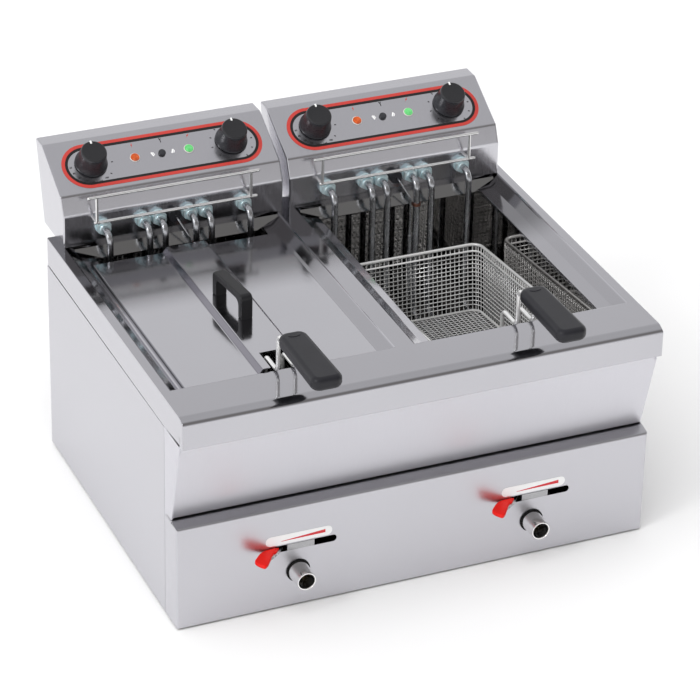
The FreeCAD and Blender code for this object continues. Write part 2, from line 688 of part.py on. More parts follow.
    # Units behind the panel: working thermostat and safety limiter, timer, and the two signal lamps
    under = -sheet
    thermostat = box(-thermostat_size / 2, thermostat_size / 2, -thermostat_size / 2, thermostat_size / 2,
                     under - thermostat_depth, under)
    spindle_bore = cylinder(spindle_radius + spindle_clearance, vec(0, 0, -spindle_length - sheet),
                            vec(0, 0, under))
    limiter = box(-limiter_size / 2, limiter_size / 2, -limiter_size / 2, limiter_size / 2,
                  under - limiter_depth, under)
    pocket = cylinder(button_hole, vec(0, 0, -button_depth - 2 * button_travel), vec(0, 0, under))
    stem_end = button_depth + button_stem_length + 2 * button_travel
    stem_bore = cylinder(button_stem_radius + spindle_clearance, vec(0, 0, -stem_end), vec(0, 0, under))
    save(side + "_thermostats", on_panel(thermostat.cut(spindle_bore), centre - knob_offset, knob_along),
         on_panel(limiter.cut(pocket).cut(stem_bore), centre, panel_middle))
    timer = cylinder(timer_radius, vec(0, 0, under - timer_depth), vec(0, 0, under))
    save(side + "_timer", on_panel(timer.cut(spindle_bore), centre + knob_offset, knob_along))
    bezel_radius = lamp_radius + lamp_bezel
    lamp = turned_about_z([(0, -lamp_body_depth), (lamp_radius, -lamp_body_depth), (lamp_radius, 0),
                           (bezel_radius, 0), (bezel_radius, lamp_bezel),
                           (lamp_radius, lamp_height - lamp_bezel), (lamp_radius / 2, lamp_height),
                           (0, lamp_height)])
    save(side + "_heating_lamp", on_panel(lamp, centre - lamp_offset, panel_middle))
    save(side + "_mains_lamp", on_panel(lamp, centre + lamp_offset, panel_middle))

    # Knobs on their spindles, with a pointer groove, and the limiter's reset button
    knob = turned_about_z([(0, -spindle_length), (spindle_radius, -spindle_length),
                           (spindle_radius, knob_clearance), (knob_radius, knob_clearance),
                           (knob_radius, knob_clearance + knob_edge),
                           (knob_top_radius, knob_height - knob_edge),
                           (knob_top_radius - knob_edge, knob_height), (0, knob_height)])
    groove = box(-pointer_width / 2, pointer_width / 2, knob_top_radius - pointer_length, knob_radius,
                 knob_height - pointer_depth, knob_height)
    knob = knob.cut(groove)
    save(side + "_thermostat_knob", on_panel(knob, centre - knob_offset, knob_along))
    save(side + "_timer_knob", on_panel(knob, centre + knob_offset, knob_along))
    stem_low = -button_depth - button_stem_length
    button = turned_about_z([(0, stem_low), (button_stem_radius, stem_low),
                             (button_stem_radius, -button_depth), (button_radius, -button_depth),
                             (button_radius, button_height - knob_edge),
                             (button_radius - knob_edge, button_height), (0, button_height)])
    save(side + "_reset_button", on_panel(button, centre, panel_middle))

# Baskets: mesh floor and walls under a wire rim, with two handle wires that rest on the deck's front
# edge and carry the grip. They are made level about the middle of the rim's back edge, then tilted.
rim_back_y = leg_y - element_diameter / 2 - basket_back_gap
rim_back_z = deck_height - basket_drop
tilt = math.radians(basket_tilt)
basket_width = tank_width - 2 * basket_side_gap
basket_length = (rim_back_y - tank_front_y - basket_front_gap) / math.cos(tilt)
straight_width = basket_width - 2 * basket_corner
straight_length = basket_length - 2 * basket_corner
wall_height = basket_depth - wire_diameter - mesh_thickness
wire_radius = wire_diameter / 2


def rectangle(x, y, width, height):
    corners = ((-1, -1), (1, -1), (1, 1), (-1, 1), (-1, -1))
    return Part.makePolygon([vec(x + i * width / 2, y + j * height / 2, 0) for i, j in corners])


def mesh_panel(outside, width, height):
    """A flat panel in the XY plane with a centred grid of square gaps, one mesh thickness up."""
    columns = max(1, round(width / mesh_pitch))
    rows = max(1, round(height / mesh_pitch))
    gaps = []
    for column in range(columns):
        for row in range(rows):
            gaps.append(rectangle(-width / 2 + (column + 0.5) * width / columns,
                                  -height / 2 + (row + 0.5) * height / rows,
                                  width / columns - mesh_bar, height / rows - mesh_bar))
    return Part.Face([outside] + gaps).extrude(vec(0, 0, mesh_thickness))


def basket_walls():
    """Floor and four flat walls below the rim wire, as separate solids."""
    floor_wire = rounded_rectangle(basket_width, basket_length, basket_corner)
    floor_wire.translate(vec(0, basket_length / 2, 0))
    floor = mesh_panel(floor_wire, basket_width - 2 * floor_margin, basket_length - 2 * floor_margin)
    floor.translate(vec(0, -basket_length / 2, -basket_depth))
    walls = [floor]
    for x, y, length, turn in ((basket_width / 2, -basket_length / 2, straight_length, -90),
                               (-basket_width / 2, -basket_length / 2, straight_length, 90),
                               (0, 0, straight_width, 0), (0, -basket_length, straight_width, 180)):
        wall = mesh_panel(rectangle(0, 0, length, wall_height), length, wall_height)
        wall.rotate(vec(0, 0, 0), vec(1, 0, 0), 90)
        wall.rotate(vec(0, 0, 0), vec(0, 0, 1), turn)
        wall.translate(vec(x, y, -wire_diameter - wall_height / 2))
        walls.append(wall)
    return walls


def basket_corners():
    """The four quarter-round corners between the flat walls."""
    outer_wire = rounded_rectangle(basket_width, basket_length, basket_corner)
    inner_wire = rounded_rectangle(basket_width - 2 * mesh_thickness, basket_length - 2 * mesh_thickness,
                                   basket_corner - mesh_thickness)
    outer = Part.Face(outer_wire).extrude(vec(0, 0, wall_height))
    inner = Part.Face(inner_wire).extrude(vec(0, 0, wall_height))
    inner.translate(vec(0, -mesh_thickness, 0))
    ring = outer.cut(inner)
    corners = []
    for x in (-basket_width / 2, basket_width / 2 - basket_corner):
        for y in (-basket_corner, -basket_length):
            corner = ring.common(box(x, x + basket_corner, y, y + basket_corner, 0, wall_height))
            corner.translate(vec(0, 0, -basket_depth + mesh_thickness))
            corners.append(corner)
    return corners


def hung(shape, centre):
    """Tilts a piece of the basket and hangs it in its tank."""
    placed = shape.copy()
    placed.rotate(vec(0, 0, 0), vec(1, 0, 0), -basket_tilt)
    placed.translate(vec(centre, rim_back_y, rim_back_z))
    return placed


rim_path = rounded_rectangle(basket_width - wire_diameter, basket_length - wire_diameter,
                             basket_corner - wire_radius)
rim_path.translate(vec(0, -wire_radius, -wire_radius))
rim_start = rim_path.Edges[0].valueAt(rim_path.Edges[0].FirstParameter)
rim_section = Part.Wire(Part.makeCircle(wire_radius, rim_start, vec(0, 1, 0)))
rim = rim_path.makePipeShell([rim_section], True, False)
rim_front_y = rim_back_y - basket_length * math.cos(tilt)
rim_front_z = rim_back_z + basket_length * math.sin(tilt) - wire_radius
wire_z = deck_height + wire_gap + wire_radius
stand_y = front_y + wire_stand
grip_z = deck_height + grip_height
grip_back = stand_y - grip_setback
grip_front = grip_back - grip_length
for side, centre in well_places:
    save(side + "_basket_mesh", *[hung(wall, centre) for wall in basket_walls()])
    save(side + "_basket_corners", *[hung(corner, centre) for corner in basket_corners()])
    wires = []
    for x in (centre - wire_spacing / 2, centre + wire_spacing / 2):
        points = [vec(x, rim_front_y, rim_front_z), vec(x, rim_front_y, wire_z), vec(x, stand_y, wire_z),
                  vec(x, stand_y, grip_z), vec(x, grip_back - grip_socket, grip_z)]
        wires.append(rod(points, wire_bend_radius, wire_diameter))
    save(side + "_basket_frame", hung(rim, centre).fuse(wires))

    back_half = grip_width_back / 2
    front_half = grip_width_front / 2
    grip_outline = [(centre - front_half, grip_front), (centre + front_half, grip_front),
                    (centre + back_half, grip_back), (centre - back_half, grip_back)]
    grip = prism_z(grip_outline, grip_z - grip_thickness / 2, grip_z + grip_thickness / 2)
    upright = [edge for edge in grip.Edges if edge.Vertexes[0].Z != edge.Vertexes[-1].Z]
    grip = grip.makeFillet(grip_corner, upright)
    rims = [edge for face in grip.Faces if abs(face.normalAt(0, 0).z) > 0.99 for edge in face.Edges]
    grip = grip.makeFillet(grip_edge, rims)
    for wire in wires:
        grip = grip.cut(wire)
    save(side + "_basket_grip", grip)

# Lid of the left tank: a folded sheet lying in the well, with a raised middle, a notch for the
# basket's wires, hemmed sides that stand on the ledge, and a bridge handle
side, centre = well_places[0]
lid_half = well_half - lid_side_gap
lid_front = well_front_y + lid_front_gap
lid_back = leg_y - element_diameter / 2 - lid_back_gap
lid_z = deck_height - lid_drop
hump_z = lid_z + hump_rise
hump_half = hump_width / 2
lid_line = [(centre + x * s, z) for s, order in ((-1, 1), (1, -1)) for x, z in
            [(lid_half, lid_z), (hump_half + hump_run, lid_z), (hump_half, hump_z)][::order]]
lid = prism_y(bent_sheet(lid_line, lid_sheet), lid_front, lid_back)
hem_low = well_ledge_top + lid_seat_gap
hem_front = tank_front_y + lid_sheet
for x0 in (centre - lid_half, centre + lid_half - lid_sheet):
    lid = lid.fuse(box(x0, x0 + lid_sheet, hem_front, lid_back, hem_low, lid_z))
lid = lid.cut(box(centre - notch_width / 2, centre + notch_width / 2, lid_front, lid_front + notch_length,
                  lid_z, hump_z + lid_sheet))
save(side + "_lid", lid.removeSplitter())

hump_top = hump_z + lid_sheet
handle_y = (lid_front + lid_back) / 2
handle_top = hump_top + lid_handle_height
handle_left = centre - lid_handle_width / 2
handle_right = centre + lid_handle_width / 2
handle_front = handle_y - lid_handle_length / 2
handle_back = handle_y + lid_handle_length / 2
handle = box(handle_left, handle_right, handle_front, handle_back, hump_top, handle_top)
handle = handle.cut(box(handle_left, handle_right, handle_front + lid_handle_bar,
                        handle_back - lid_handle_bar, hump_top, handle_top - lid_handle_bar))
across = [edge for edge in handle.Edges if edge.Vertexes[0].X != edge.Vertexes[-1].X
          and edge.CenterOfMass.z > hump_top + lid_handle_bar]
handle = handle.makeFillet(lid_handle_corner, across)
save(side + "_lid_handle", handle)
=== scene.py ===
import math

import bmesh
import bpy
from mathutils import Matrix, Vector


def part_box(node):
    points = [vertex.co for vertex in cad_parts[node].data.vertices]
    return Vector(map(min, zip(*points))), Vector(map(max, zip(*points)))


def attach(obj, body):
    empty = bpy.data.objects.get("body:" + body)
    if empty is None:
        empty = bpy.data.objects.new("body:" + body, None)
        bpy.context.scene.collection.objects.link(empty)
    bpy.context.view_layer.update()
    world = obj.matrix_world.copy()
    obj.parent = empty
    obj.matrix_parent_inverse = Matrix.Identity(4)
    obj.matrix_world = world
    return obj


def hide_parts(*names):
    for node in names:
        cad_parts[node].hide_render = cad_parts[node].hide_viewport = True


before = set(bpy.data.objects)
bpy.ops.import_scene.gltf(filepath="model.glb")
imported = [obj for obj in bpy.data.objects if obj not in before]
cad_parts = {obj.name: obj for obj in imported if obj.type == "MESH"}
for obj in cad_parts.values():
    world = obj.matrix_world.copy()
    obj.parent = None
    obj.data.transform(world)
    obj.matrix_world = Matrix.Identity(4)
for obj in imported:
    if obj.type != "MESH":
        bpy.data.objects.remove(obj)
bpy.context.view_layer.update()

# Camera and studio: a long lens from the front left and above, a pale floor, a soft lamp overhead, a weak
# one from the left, and a room bright near the floor and dim behind the camera, which the steel shows.
view_turn = math.radians(-23.61)
view_height = math.radians(29.59)
view_roll = math.radians(1.32)
towards_camera = Vector((math.sin(view_turn) * math.cos(view_height),
                         -math.cos(view_turn) * math.cos(view_height), math.sin(view_height)))
level_right = Vector((math.cos(view_turn), math.sin(view_turn), 0))
camera_roll = Matrix.Rotation(view_roll, 3, towards_camera)
camera_right = camera_roll @ level_right
camera_up = camera_roll @ towards_camera.cross(level_right)
camera_pose = Matrix((camera_right, camera_up, towards_camera)).transposed().to_4x4()
camera_pose.translation = (-1.4163, -3.2493, 2.2101)
scene = bpy.context.scene
lens = bpy.data.cameras.new("studio_camera")
lens.lens = 173.83
lens.sensor_width = 36
lens.clip_end = 60
camera = bpy.data.objects.new("studio_camera", lens)
camera.matrix_world = camera_pose
scene.collection.objects.link(camera)
scene.camera = camera
scene.view_settings.view_transform = "Standard"

room = bpy.data.worlds.new("studio_room")
room.use_nodes = True
scene.world = room
room_nodes = room.node_tree.nodes
room_links = room.node_tree.links
direction = room_nodes.new("ShaderNodeTexCoord")
parts = room_nodes.new("ShaderNodeSeparateXYZ")
room_links.new(direction.outputs["Generated"], parts.inputs["Vector"])
height_tone = room_nodes.new("ShaderNodeValToRGB")
room_links.new(parts.outputs["Z"], height_tone.inputs["Fac"])
tones = height_tone.color_ramp.elements
tones[0].color = (1.1, 1.1, 1.1, 1)
tones[1].color = (0.62, 0.62, 0.63, 1)
for spot, tone in ((0.2, 1.0), (0.5, 0.72), (0.75, 0.6)):
    tones.new(spot).color = (tone, tone, tone * 1.01, 1)


def preset(node, *values):
    """Sets some inputs of a node, given as pairs of a label and a value."""
    for label, value in values:
        node.inputs[label].default_value = value


def room_share(axis, start, end, blend="SMOOTHSTEP"):
    """How far a direction has come from one place on an axis to another."""
    share = room_nodes.new("ShaderNodeMapRange")
    share.interpolation_type = blend
    preset(share, ("From Min", start), ("From Max", end))
    room_links.new(parts.outputs[axis], share.inputs["Value"])
    return share.outputs["Result"]


def room_both(operation, first, second):
    """Two shares of the room taken together."""
    both = room_nodes.new("ShaderNodeMath")
    both.operation = operation
    room_links.new(first, both.inputs[0])
    room_links.new(second, both.inputs[1])
    return both.outputs[0]


dim_ahead = room_both("MULTIPLY", room_share("Y", -0.15, -0.6), room_share("Z", 0.05, 0.55))
right_side = room_both("MULTIPLY", room_share("X", 0.4, 0.58), room_share("Y", 0.1, -0.1, "LINEAR"))
dim_right = room_both("MULTIPLY", right_side, room_share("Z", -0.12, 0, "LINEAR"))
dimmed = room_nodes.new("ShaderNodeMix")
dimmed.data_type = "RGBA"
preset(dimmed, (7, (0.26, 0.25, 0.245, 1)))
room_links.new(room_both("MAXIMUM", dim_ahead, dim_right), dimmed.inputs[0])
room_links.new(height_tone.outputs["Color"], dimmed.inputs[6])
room_links.new(dimmed.outputs[2], room_nodes["Background"].inputs["Color"])


def distant_lamp(name, strength, spread, turn):
    """A far lamp whose light spreads over an angle."""
    light = bpy.data.lights.new(name, "SUN")
    light.energy = strength
    light.angle = math.radians(spread)
    lamp = bpy.data.objects.new(name, light)
    lamp.rotation_euler = turn
    scene.collection.objects.link(lamp)
    return lamp


soft_lamp = distant_lamp("soft_lamp", 2.4, 70, (math.radians(18), math.radians(-22), 0))
soft_lamp.visible_glossy = False
towards_key = Vector((-0.74, -0.27, 0.62))
distant_lamp("key_lamp", 0.45, 14, towards_key.to_track_quat("Z", "Y").to_euler())


def surface_grain():
    """Fine drawn-out grain and broad smudges, as two masks."""
    group = bpy.data.node_groups.new("surface_grain", "ShaderNodeTree")
    sockets = group.interface
    sockets.new_socket("Stretch", in_out="INPUT", socket_type="NodeSocketVector")
    for label, way in (("Smudge Scale", "INPUT"), ("Grain", "OUTPUT"), ("Smudge", "OUTPUT")):
        sockets.new_socket(label, in_out=way, socket_type="NodeSocketFloat")
    nodes = group.nodes
    links = group.links
    given = nodes.new("NodeGroupInput")
    result = nodes.new("NodeGroupOutput")
    place = nodes.new("ShaderNodeTexCoord")
    drawn_out = nodes.new("ShaderNodeVectorMath")
    drawn_out.operation = "MULTIPLY"
    links.new(place.outputs["Object"], drawn_out.inputs[0])
    links.new(given.outputs["Stretch"], drawn_out.inputs[1])
    grain = nodes.new("ShaderNodeTexNoise")
    preset(grain, ("Scale", 1), ("Detail", 3))
    links.new(drawn_out.outputs[0], grain.inputs["Vector"])
    links.new(grain.outputs[0], result.inputs["Grain"])
    smudge = nodes.new("ShaderNodeTexNoise")
    preset(smudge, ("Detail", 2))
    links.new(place.outputs["Object"], smudge.inputs["Vector"])
    links.new(given.outputs["Smudge Scale"], smudge.inputs["Scale"])
    links.new(smudge.outputs[0], result.inputs["Smudge"])
    return group


def painted_reflection_mask():
    """A mask that grows towards the heads, for a painted shade that stands in for their dark reflection in
    the steel.
    """
    group = bpy.data.node_groups.new("painted_reflection_mask", "ShaderNodeTree")
    for label, way in (("Start", "INPUT"), ("End", "INPUT"), ("Limit", "INPUT"), ("Shade", "OUTPUT")):
        group.interface.new_socket(label, in_out=way, socket_type="NodeSocketFloat")
    nodes = group.nodes
    links = group.links
    given = nodes.new("NodeGroupInput")
    result = nodes.new("NodeGroupOutput")
    place = nodes.new("ShaderNodeTexCoord")
    along = nodes.new("ShaderNodeSeparateXYZ")
    links.new(place.outputs["Object"], along.inputs["Vector"])
    share = nodes.new("ShaderNodeMapRange")
    share.interpolation_type = "SMOOTHSTEP"
    links.new(along.outputs["Y"], share.inputs["Value"])
    links.new(given.outputs["Start"], share.inputs["From Min"])
    links.new(given.outputs["End"], share.inputs["From Max"])
    within = nodes.new("ShaderNodeMath")
    within.operation = "LESS_THAN"
    links.new(along.outputs["X"], within.inputs[0])
    links.new(given.outputs["Limit"], within.inputs[1])
    both = nodes.new("ShaderNodeMath")
    both.operation = "MULTIPLY"
    links.new(share.outputs["Result"], both.inputs[0])
    links.new(within.outputs[0], both.inputs[1])
    links.new(both.outputs[0], result.inputs["Shade"])
    return group


grain_group = surface_grain()
painted_reflection_group = painted_reflection_mask()


def finish(name, pale, deep, metal, gloss, stretch, smudge_scale, relief, specular=0.5):
    """A finish whose tone drifts with its smudges and whose gloss and relief follow its grain.

    One number stands for a grey, or for a grain that is even all ways.
    """
    given = (pale, deep, stretch)
    pale, deep, stretch = (value if isinstance(value, tuple) else (value,) * 3 for value in given)
    material = bpy.data.materials.new(name)
    material.use_nodes = True
    nodes = material.node_tree.nodes
    links = material.node_tree.links
    shader = nodes["Principled BSDF"]
    preset(shader, ("Metallic", metal), ("Specular IOR Level", specular))
    grain = nodes.new("ShaderNodeGroup")
    grain.node_tree = grain_group
    preset(grain, ("Stretch", stretch), ("Smudge Scale", smudge_scale))
    tone = nodes.new("ShaderNodeMix")
    tone.data_type = "RGBA"
    preset(tone, (6, (*pale, 1)), (7, (*deep, 1)))
    links.new(grain.outputs["Smudge"], tone.inputs[0])
    links.new(tone.outputs[2], shader.inputs["Base Color"])
    sheen = nodes.new("ShaderNodeMapRange")
    preset(sheen, ("From Min", 0.3), ("From Max", 0.7), ("To Min", gloss[0]), ("To Max", gloss[1]))
    links.new(grain.outputs["Grain"], sheen.inputs["Value"])
    links.new(sheen.outputs["Result"], shader.inputs["Roughness"])
    bump = nodes.new("ShaderNodeBump")
    preset(bump, ("Strength", relief), ("Distance", 0.0002))
    links.new(grain.outputs["Grain"], bump.inputs["Height"])
    links.new(bump.outputs["Normal"], shader.inputs["Normal"])
    return material


def paint_head_reflection(material, start, end, limit, depth):
    """Darkens a finish between two places towards the back, left of a limit across: a painted shade that
    stands in for the dark reflection of the heads.
    """
    nodes = material.node_tree.nodes
    links = material.node_tree.links
    shader = nodes["Principled BSDF"]
    shade = nodes.new("ShaderNodeGroup")
    shade.node_tree = painted_reflection_group
    preset(shade, ("Start", start), ("End", end), ("Limit", limit))
    keep = nodes.new("ShaderNodeMapRange")
    preset(keep, ("To Min", 1), ("To Max", 1 - depth))
    links.new(shade.outputs["Shade"], keep.inputs["Value"])
    scaled = nodes.new("ShaderNodeVectorMath")
    scaled.operation = "SCALE"
    links.new(shader.inputs["Base Color"].links[0].from_socket, scaled.inputs[0])
    links.new(keep.outputs["Result"], scaled.inputs["Scale"])
    links.new(scaled.outputs[0], shader.inputs["Base Color"])


studio_floor = finish("studio_floor", 0.86, 0.84, 0, (0.8, 0.9), 40, 1.5, 0.02)


def placed(bm, name, *materials):
    """Makes a finished mesh an object of the scene."""
    mesh = bpy.data.meshes.new(name)
    bm.to_mesh(mesh)
    bm.free()
    for material in materials:
        mesh.materials.append(material)
    piece = bpy.data.objects.new(name, mesh)
    scene.collection.objects.link(piece)
    return piece


bm = bmesh.new()
bmesh.ops.create_grid(bm, x_segments=4, y_segments=4, size=30)
floor = placed(bm, "studio_floor", studio_floor)

# Body sides, back and base: flat stainless sheets spot-welded to the frame, satin from the mill, on
# four rubber feet pressed into the base.
side_steel = finish(
    "side_steel", (0.57, 0.566, 0.598), (0.56, 0.556, 0.588), 1, (0.3, 0.3), (60, 60, 700), 6, 0)
base_steel = finish("base_steel", (0.5, 0.5, 0.49), (0.42, 0.42, 0.41), 1, (0.35, 0.5), (500, 40, 40), 8, 0.1)
foot_rubber = finish("foot_rubber", 0.035, 0.02, 0, (0.6, 0.8), 900, 60, 0.3)


def coated(node, material):
    """Gives a solid of the frame its finish."""
    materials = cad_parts[node].data.materials
    materials.clear()
    materials.append(material)


for node in ("left_side_panel", "right_side_panel", "rear_panel"):
    coated(node, side_steel)
coated("base_pan", base_steel)
coated("rubber_feet", foot_rubber)

# Rear screws: pan heads pressed from bright steel, in two rows of four, that hold the back panel to the
# frame.
screw_steel = finish("screw_steel", 0.7, 0.55, 1, (0.2, 0.35), 900, 90, 0.1)
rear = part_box("rear_panel")[1][1]
screw_profile = [(0, 0.0024), (0.0018, 0.0023), (0.0032, 0.0016), (0.0038, 0.0005), (0.0038, 0)]
screw_xs = (-0.285, -0.095, 0.095, 0.285)
screw_zs = (0.018, 0.238)
facing_back = Matrix.Rotation(math.radians(-90), 4, "X")


def moved(x, y, z):
    """The shift to a place."""
    return Matrix.Translation((x, y, z))


def linked(bm, name, body, *materials):
    """Makes a finished mesh a piece that moves with a body."""
    piece = placed(bm, name, *materials)
    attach(piece, body)
    return piece


def smoothed(piece, crease=35):
    """Shades a piece smooth up to an angle, with its flat faces kept flat."""
    piece.data.shade_smooth()
    piece.data.set_sharp_from_angle(angle=math.radians(crease))
    evened = piece.modifiers.new("evened", "WEIGHTED_NORMAL")
    evened.keep_sharp = True
    return piece


def turned(bm, profile, place, steps=40):
    """Turns a profile of (radius, height) points about its own axis and sets it in place."""
    before = set(bm.verts)
    points = [bm.verts.new((radius, 0, height)) for radius, height in profile]
    line = [bm.edges.new(pair) for pair in zip(points, points[1:])]
    bmesh.ops.spin(bm, geom=points + line, cent=(0, 0, 0), axis=(0, 0, 1), angle=2 * math.pi, steps=steps,
                   use_merge=True)
    new = [v for v in bm.verts if v not in before]
    bmesh.ops.remove_doubles(bm, verts=new, dist=0.000001)
    new = [v for v in bm.verts if v not in before]
    faces = list({face for v in new for face in v.link_faces})
    bmesh.ops.recalc_face_normals(bm, faces=faces)
    bmesh.ops.transform(bm, matrix=place, verts=new)
    return faces


bm = bmesh.new()
for x in screw_xs:
    for z in screw_zs:
        turned(bm, screw_profile, moved(x, rear, z) @ facing_back, 16)
rear_screws = smoothed(linked(bm, "rear_screws", "chassis", screw_steel))

# Lower front panel: one stainless sheet folded round both sides and back over the top as a ledge, with
# a lever slot and a nozzle hole cut for each tap.
front_steel = finish(
    "front_steel", (0.6, 0.596, 0.63), (0.565, 0.561, 0.593), 1, (0.3, 0.36), (700, 60, 60), 5, 0.03)
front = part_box("lower_front_panel")[0][1]
half_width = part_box("lower_front_panel")[1][0]
sheet = 0.0012
panel_bend = 0.003
facing_front = Matrix.Rotation(math.radians(90), 4, "X")


def row(bm, axis, value):
    """The edges that lie at one place along an axis."""
    return [e for e in bm.edges if all(abs(v.co[axis] - value) < 0.00001 for v in e.verts)]


def pulled(bm, edges, shift):
    """Draws a row of edges out into new faces and gives the row at their far side."""
    drawn = bmesh.ops.extrude_edge_only(bm, edges=edges)["geom"]
    verts = [v for v in drawn if isinstance(v, bmesh.types.BMVert)]
    bmesh.ops.translate(bm, verts=verts, vec=shift)
    return [e for e in drawn if isinstance(e, bmesh.types.BMEdge) and set(e.verts) <= set(verts)]


def mark_folds(bm):
    """Marks every bent edge of a sheet as a fold."""
    fold = bm.edges.layers.float.new("bevel_weight_edge")
    for edge in bm.edges:
        edge[fold] = 1 if edge.calc_face_angle(0) > 0.1 else 0


def face_outward(bm):
    """Turns all the faces of a mesh outward."""
    bmesh.ops.recalc_face_normals(bm, faces=bm.faces)


def folded(bm, name, body, material, bend, thickness, cutters=()):
    """Rounds the marked folds of a sheet, gives it its thickness and cuts its holes."""
    face_outward(bm)
    piece = linked(bm, name, body, material)
    rounding = piece.modifiers.new("rounding", "BEVEL")
    rounding.limit_method = "WEIGHT"
    rounding.width = bend
    rounding.segments = 4
    rounding.use_clamp_overlap = False
    wall = piece.modifiers.new("wall", "SOLIDIFY")
    wall.thickness = thickness
    wall.offset = -1
    for cutter in cutters:
        hole = piece.modifiers.new("hole", "BOOLEAN")
        hole.object = cutter
    settled = bpy.data.meshes.new_from_object(piece.evaluated_get(bpy.context.evaluated_depsgraph_get()))
    piece.modifiers.clear()
    piece.data = settled
    for cutter in cutters:
        bpy.data.objects.remove(cutter)
    return smoothed(piece)


def hole_cutter(x, z, radius, length):
    """A round-ended cutter through the front panel, as wide as the hole and as long as the slot."""
    bm = bmesh.new()
    place = moved(x, front, z) @ facing_front
    bmesh.ops.create_cone(bm, cap_ends=True, segments=32, radius1=radius, radius2=radius, depth=cutter_depth,
                          matrix=place)
    bmesh.ops.translate(bm, verts=[v for v in bm.verts if v.co.x > x], vec=(length, 0, 0))
    return placed(bm, "cutter")


panel_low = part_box("lower_front_panel")[0][2]
panel_top = 0.137
ledge_depth = 0.017
ledge_rise = 0.004
ledge_tuck = 0.015
panel_return = 0.038
tap_height = 0.049
lever_height = 0.083
nozzle_hole = 0.0135
slot_start = -0.0265
slot_radius = 0.0045
slot_length = 0.07
cutter_depth = 0.02
tank_xs = (-0.15, 0.15)
tank_sides = tuple(zip(("left", "right"), tank_xs))
bm = bmesh.new()
bm.faces.new([bm.verts.new((x, front, z)) for x, z in ((-half_width, panel_low), (half_width, panel_low),
                                                       (half_width, panel_top), (-half_width, panel_top))])
ledge = pulled(bm, row(bm, 2, panel_top), (0, ledge_depth, ledge_rise))
pulled(bm, ledge, (0, ledge_tuck, 0))
for x in (-half_width, half_width):
    corner = [e for e in row(bm, 0, x) if e in row(bm, 1, front)]
    pulled(bm, corner, (0, panel_return, 0))
mark_folds(bm)
cutters = []
for x in tank_xs:
    cutters.append(hole_cutter(x, tap_height, nozzle_hole, 0))
    cutters.append(hole_cutter(x + slot_start, lever_height, slot_radius, slot_length))
lower_panel = folded(bm, "lower_panel", "chassis", front_steel, panel_bend, sheet, cutters)
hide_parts("lower_front_panel")

# Upper front panel: a sheet that leans forward from the ledge, folded round both sides, with its top
# edge tucked up behind the deck's lip.
upper_steel = finish(
    "upper_steel", (0.68, 0.675, 0.714), (0.65, 0.645, 0.683), 1, (0.4, 0.46), (700, 60, 60), 5, 0.02)
lip_y = front - 0.021
tuck_y = lip_y + 0.009
skirt_bottom = 0.254
return_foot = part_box("upper_front_panel")[0][2]
panel_foot = panel_top + ledge_rise + 0.0025
foot_y = front + ledge_depth + 0.0003
return_y = front + panel_return
tuck_rise = 0.013
tab_inset = 0.993
tab = ((tuck_y - 0.006, 0.262), (tuck_y + 0.004, 0.24), (return_y, 0.24), (return_y, 0.262))
bm = bmesh.new()
bm.faces.new([bm.verts.new((x, y, z)) for x, y, z in (
    (-half_width, foot_y, panel_foot), (half_width, foot_y, panel_foot), (half_width, tuck_y, skirt_bottom),
    (-half_width, tuck_y, skirt_bottom))])
slant = bm.edges[:]
pulled(bm, row(bm, 2, skirt_bottom), (0, 0, tuck_rise))
for x in (-half_width, half_width):
    corner = [e for e in row(bm, 0, x) if e in slant]
    for edge in pulled(bm, corner, (0, 0, 0)):
        for v in edge.verts:
            v.co.y = return_y
    foot = [e for e in row(bm, 0, x) if e in row(bm, 2, panel_foot)]
    pulled(bm, foot, (0, 0, return_foot - panel_foot))
    bm.faces.new([bm.verts.new((x * tab_inset, y, z)) for y, z in tab])
mark_folds(bm)
upper_panel = folded(bm, "upper_panel", "chassis", upper_steel, panel_bend, sheet)
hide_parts("upper_front_panel")

# Tanks: deep open boxes folded from bright stainless sheet, welded at the corners and hung under the
# wells of the deck.
tank_steel = finish(
    "tank_steel", (0.46, 0.45, 0.44), (0.38, 0.37, 0.365), 1, (0.03, 0.06), (80, 80, 500), 9, 0.02)
for node in ("left_tank", "right_tank"):
    coated(node, tank_steel)

# Deck: one pressed bright sheet with a stepped well round each tank, a rolled front lip with a hem
# under it, and skirts folded down on all sides.
deck_steel = finish(
    "deck_steel", (0.56, 0.556, 0.588), (0.51, 0.506, 0.536), 1, (0.07, 0.12), (60, 400, 60), 5, 0.02)
# Painted shade: the deck darkens towards the heads, in place of their dark reflection in the steel.
painted_reflection_limit = 0.2875
paint_head_reflection(deck_steel, start=front + 0.235, end=front + 0.31, limit=painted_reflection_limit, depth=0.5)
deck_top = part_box("deck")[1][2]
bevel_y = lip_y + 0.009
bevel_z = deck_top - 0.0044
lip_hem = 0.0087
skirt_gap = 0.0014
deck_bend = 0.0045
deck_thickness = 0.0015
inner_half = half_width - 0.001
well_front = front + 0.05
well_rear = rear - 0.022
well_levels = ((0, 0.1385, 0, 0), (0, 0.137, 0.00075, 0.002), (0, 0.124, 0.0015, 0.008),
               (-0.003, 0.109, 0.003, 0.01), (-0.003, 0.109, 0.003, 0.015))


def rectangle(bm, x0, x1, y0, y1, z):
    """A level loop of four edges."""
    verts = [bm.verts.new(p) for p in ((x0, y0, z), (x1, y0, z), (x1, y1, z), (x0, y1, z))]
    return [bm.edges.new((a, b)) for a, b in zip(verts, verts[1:] + verts[:1])]


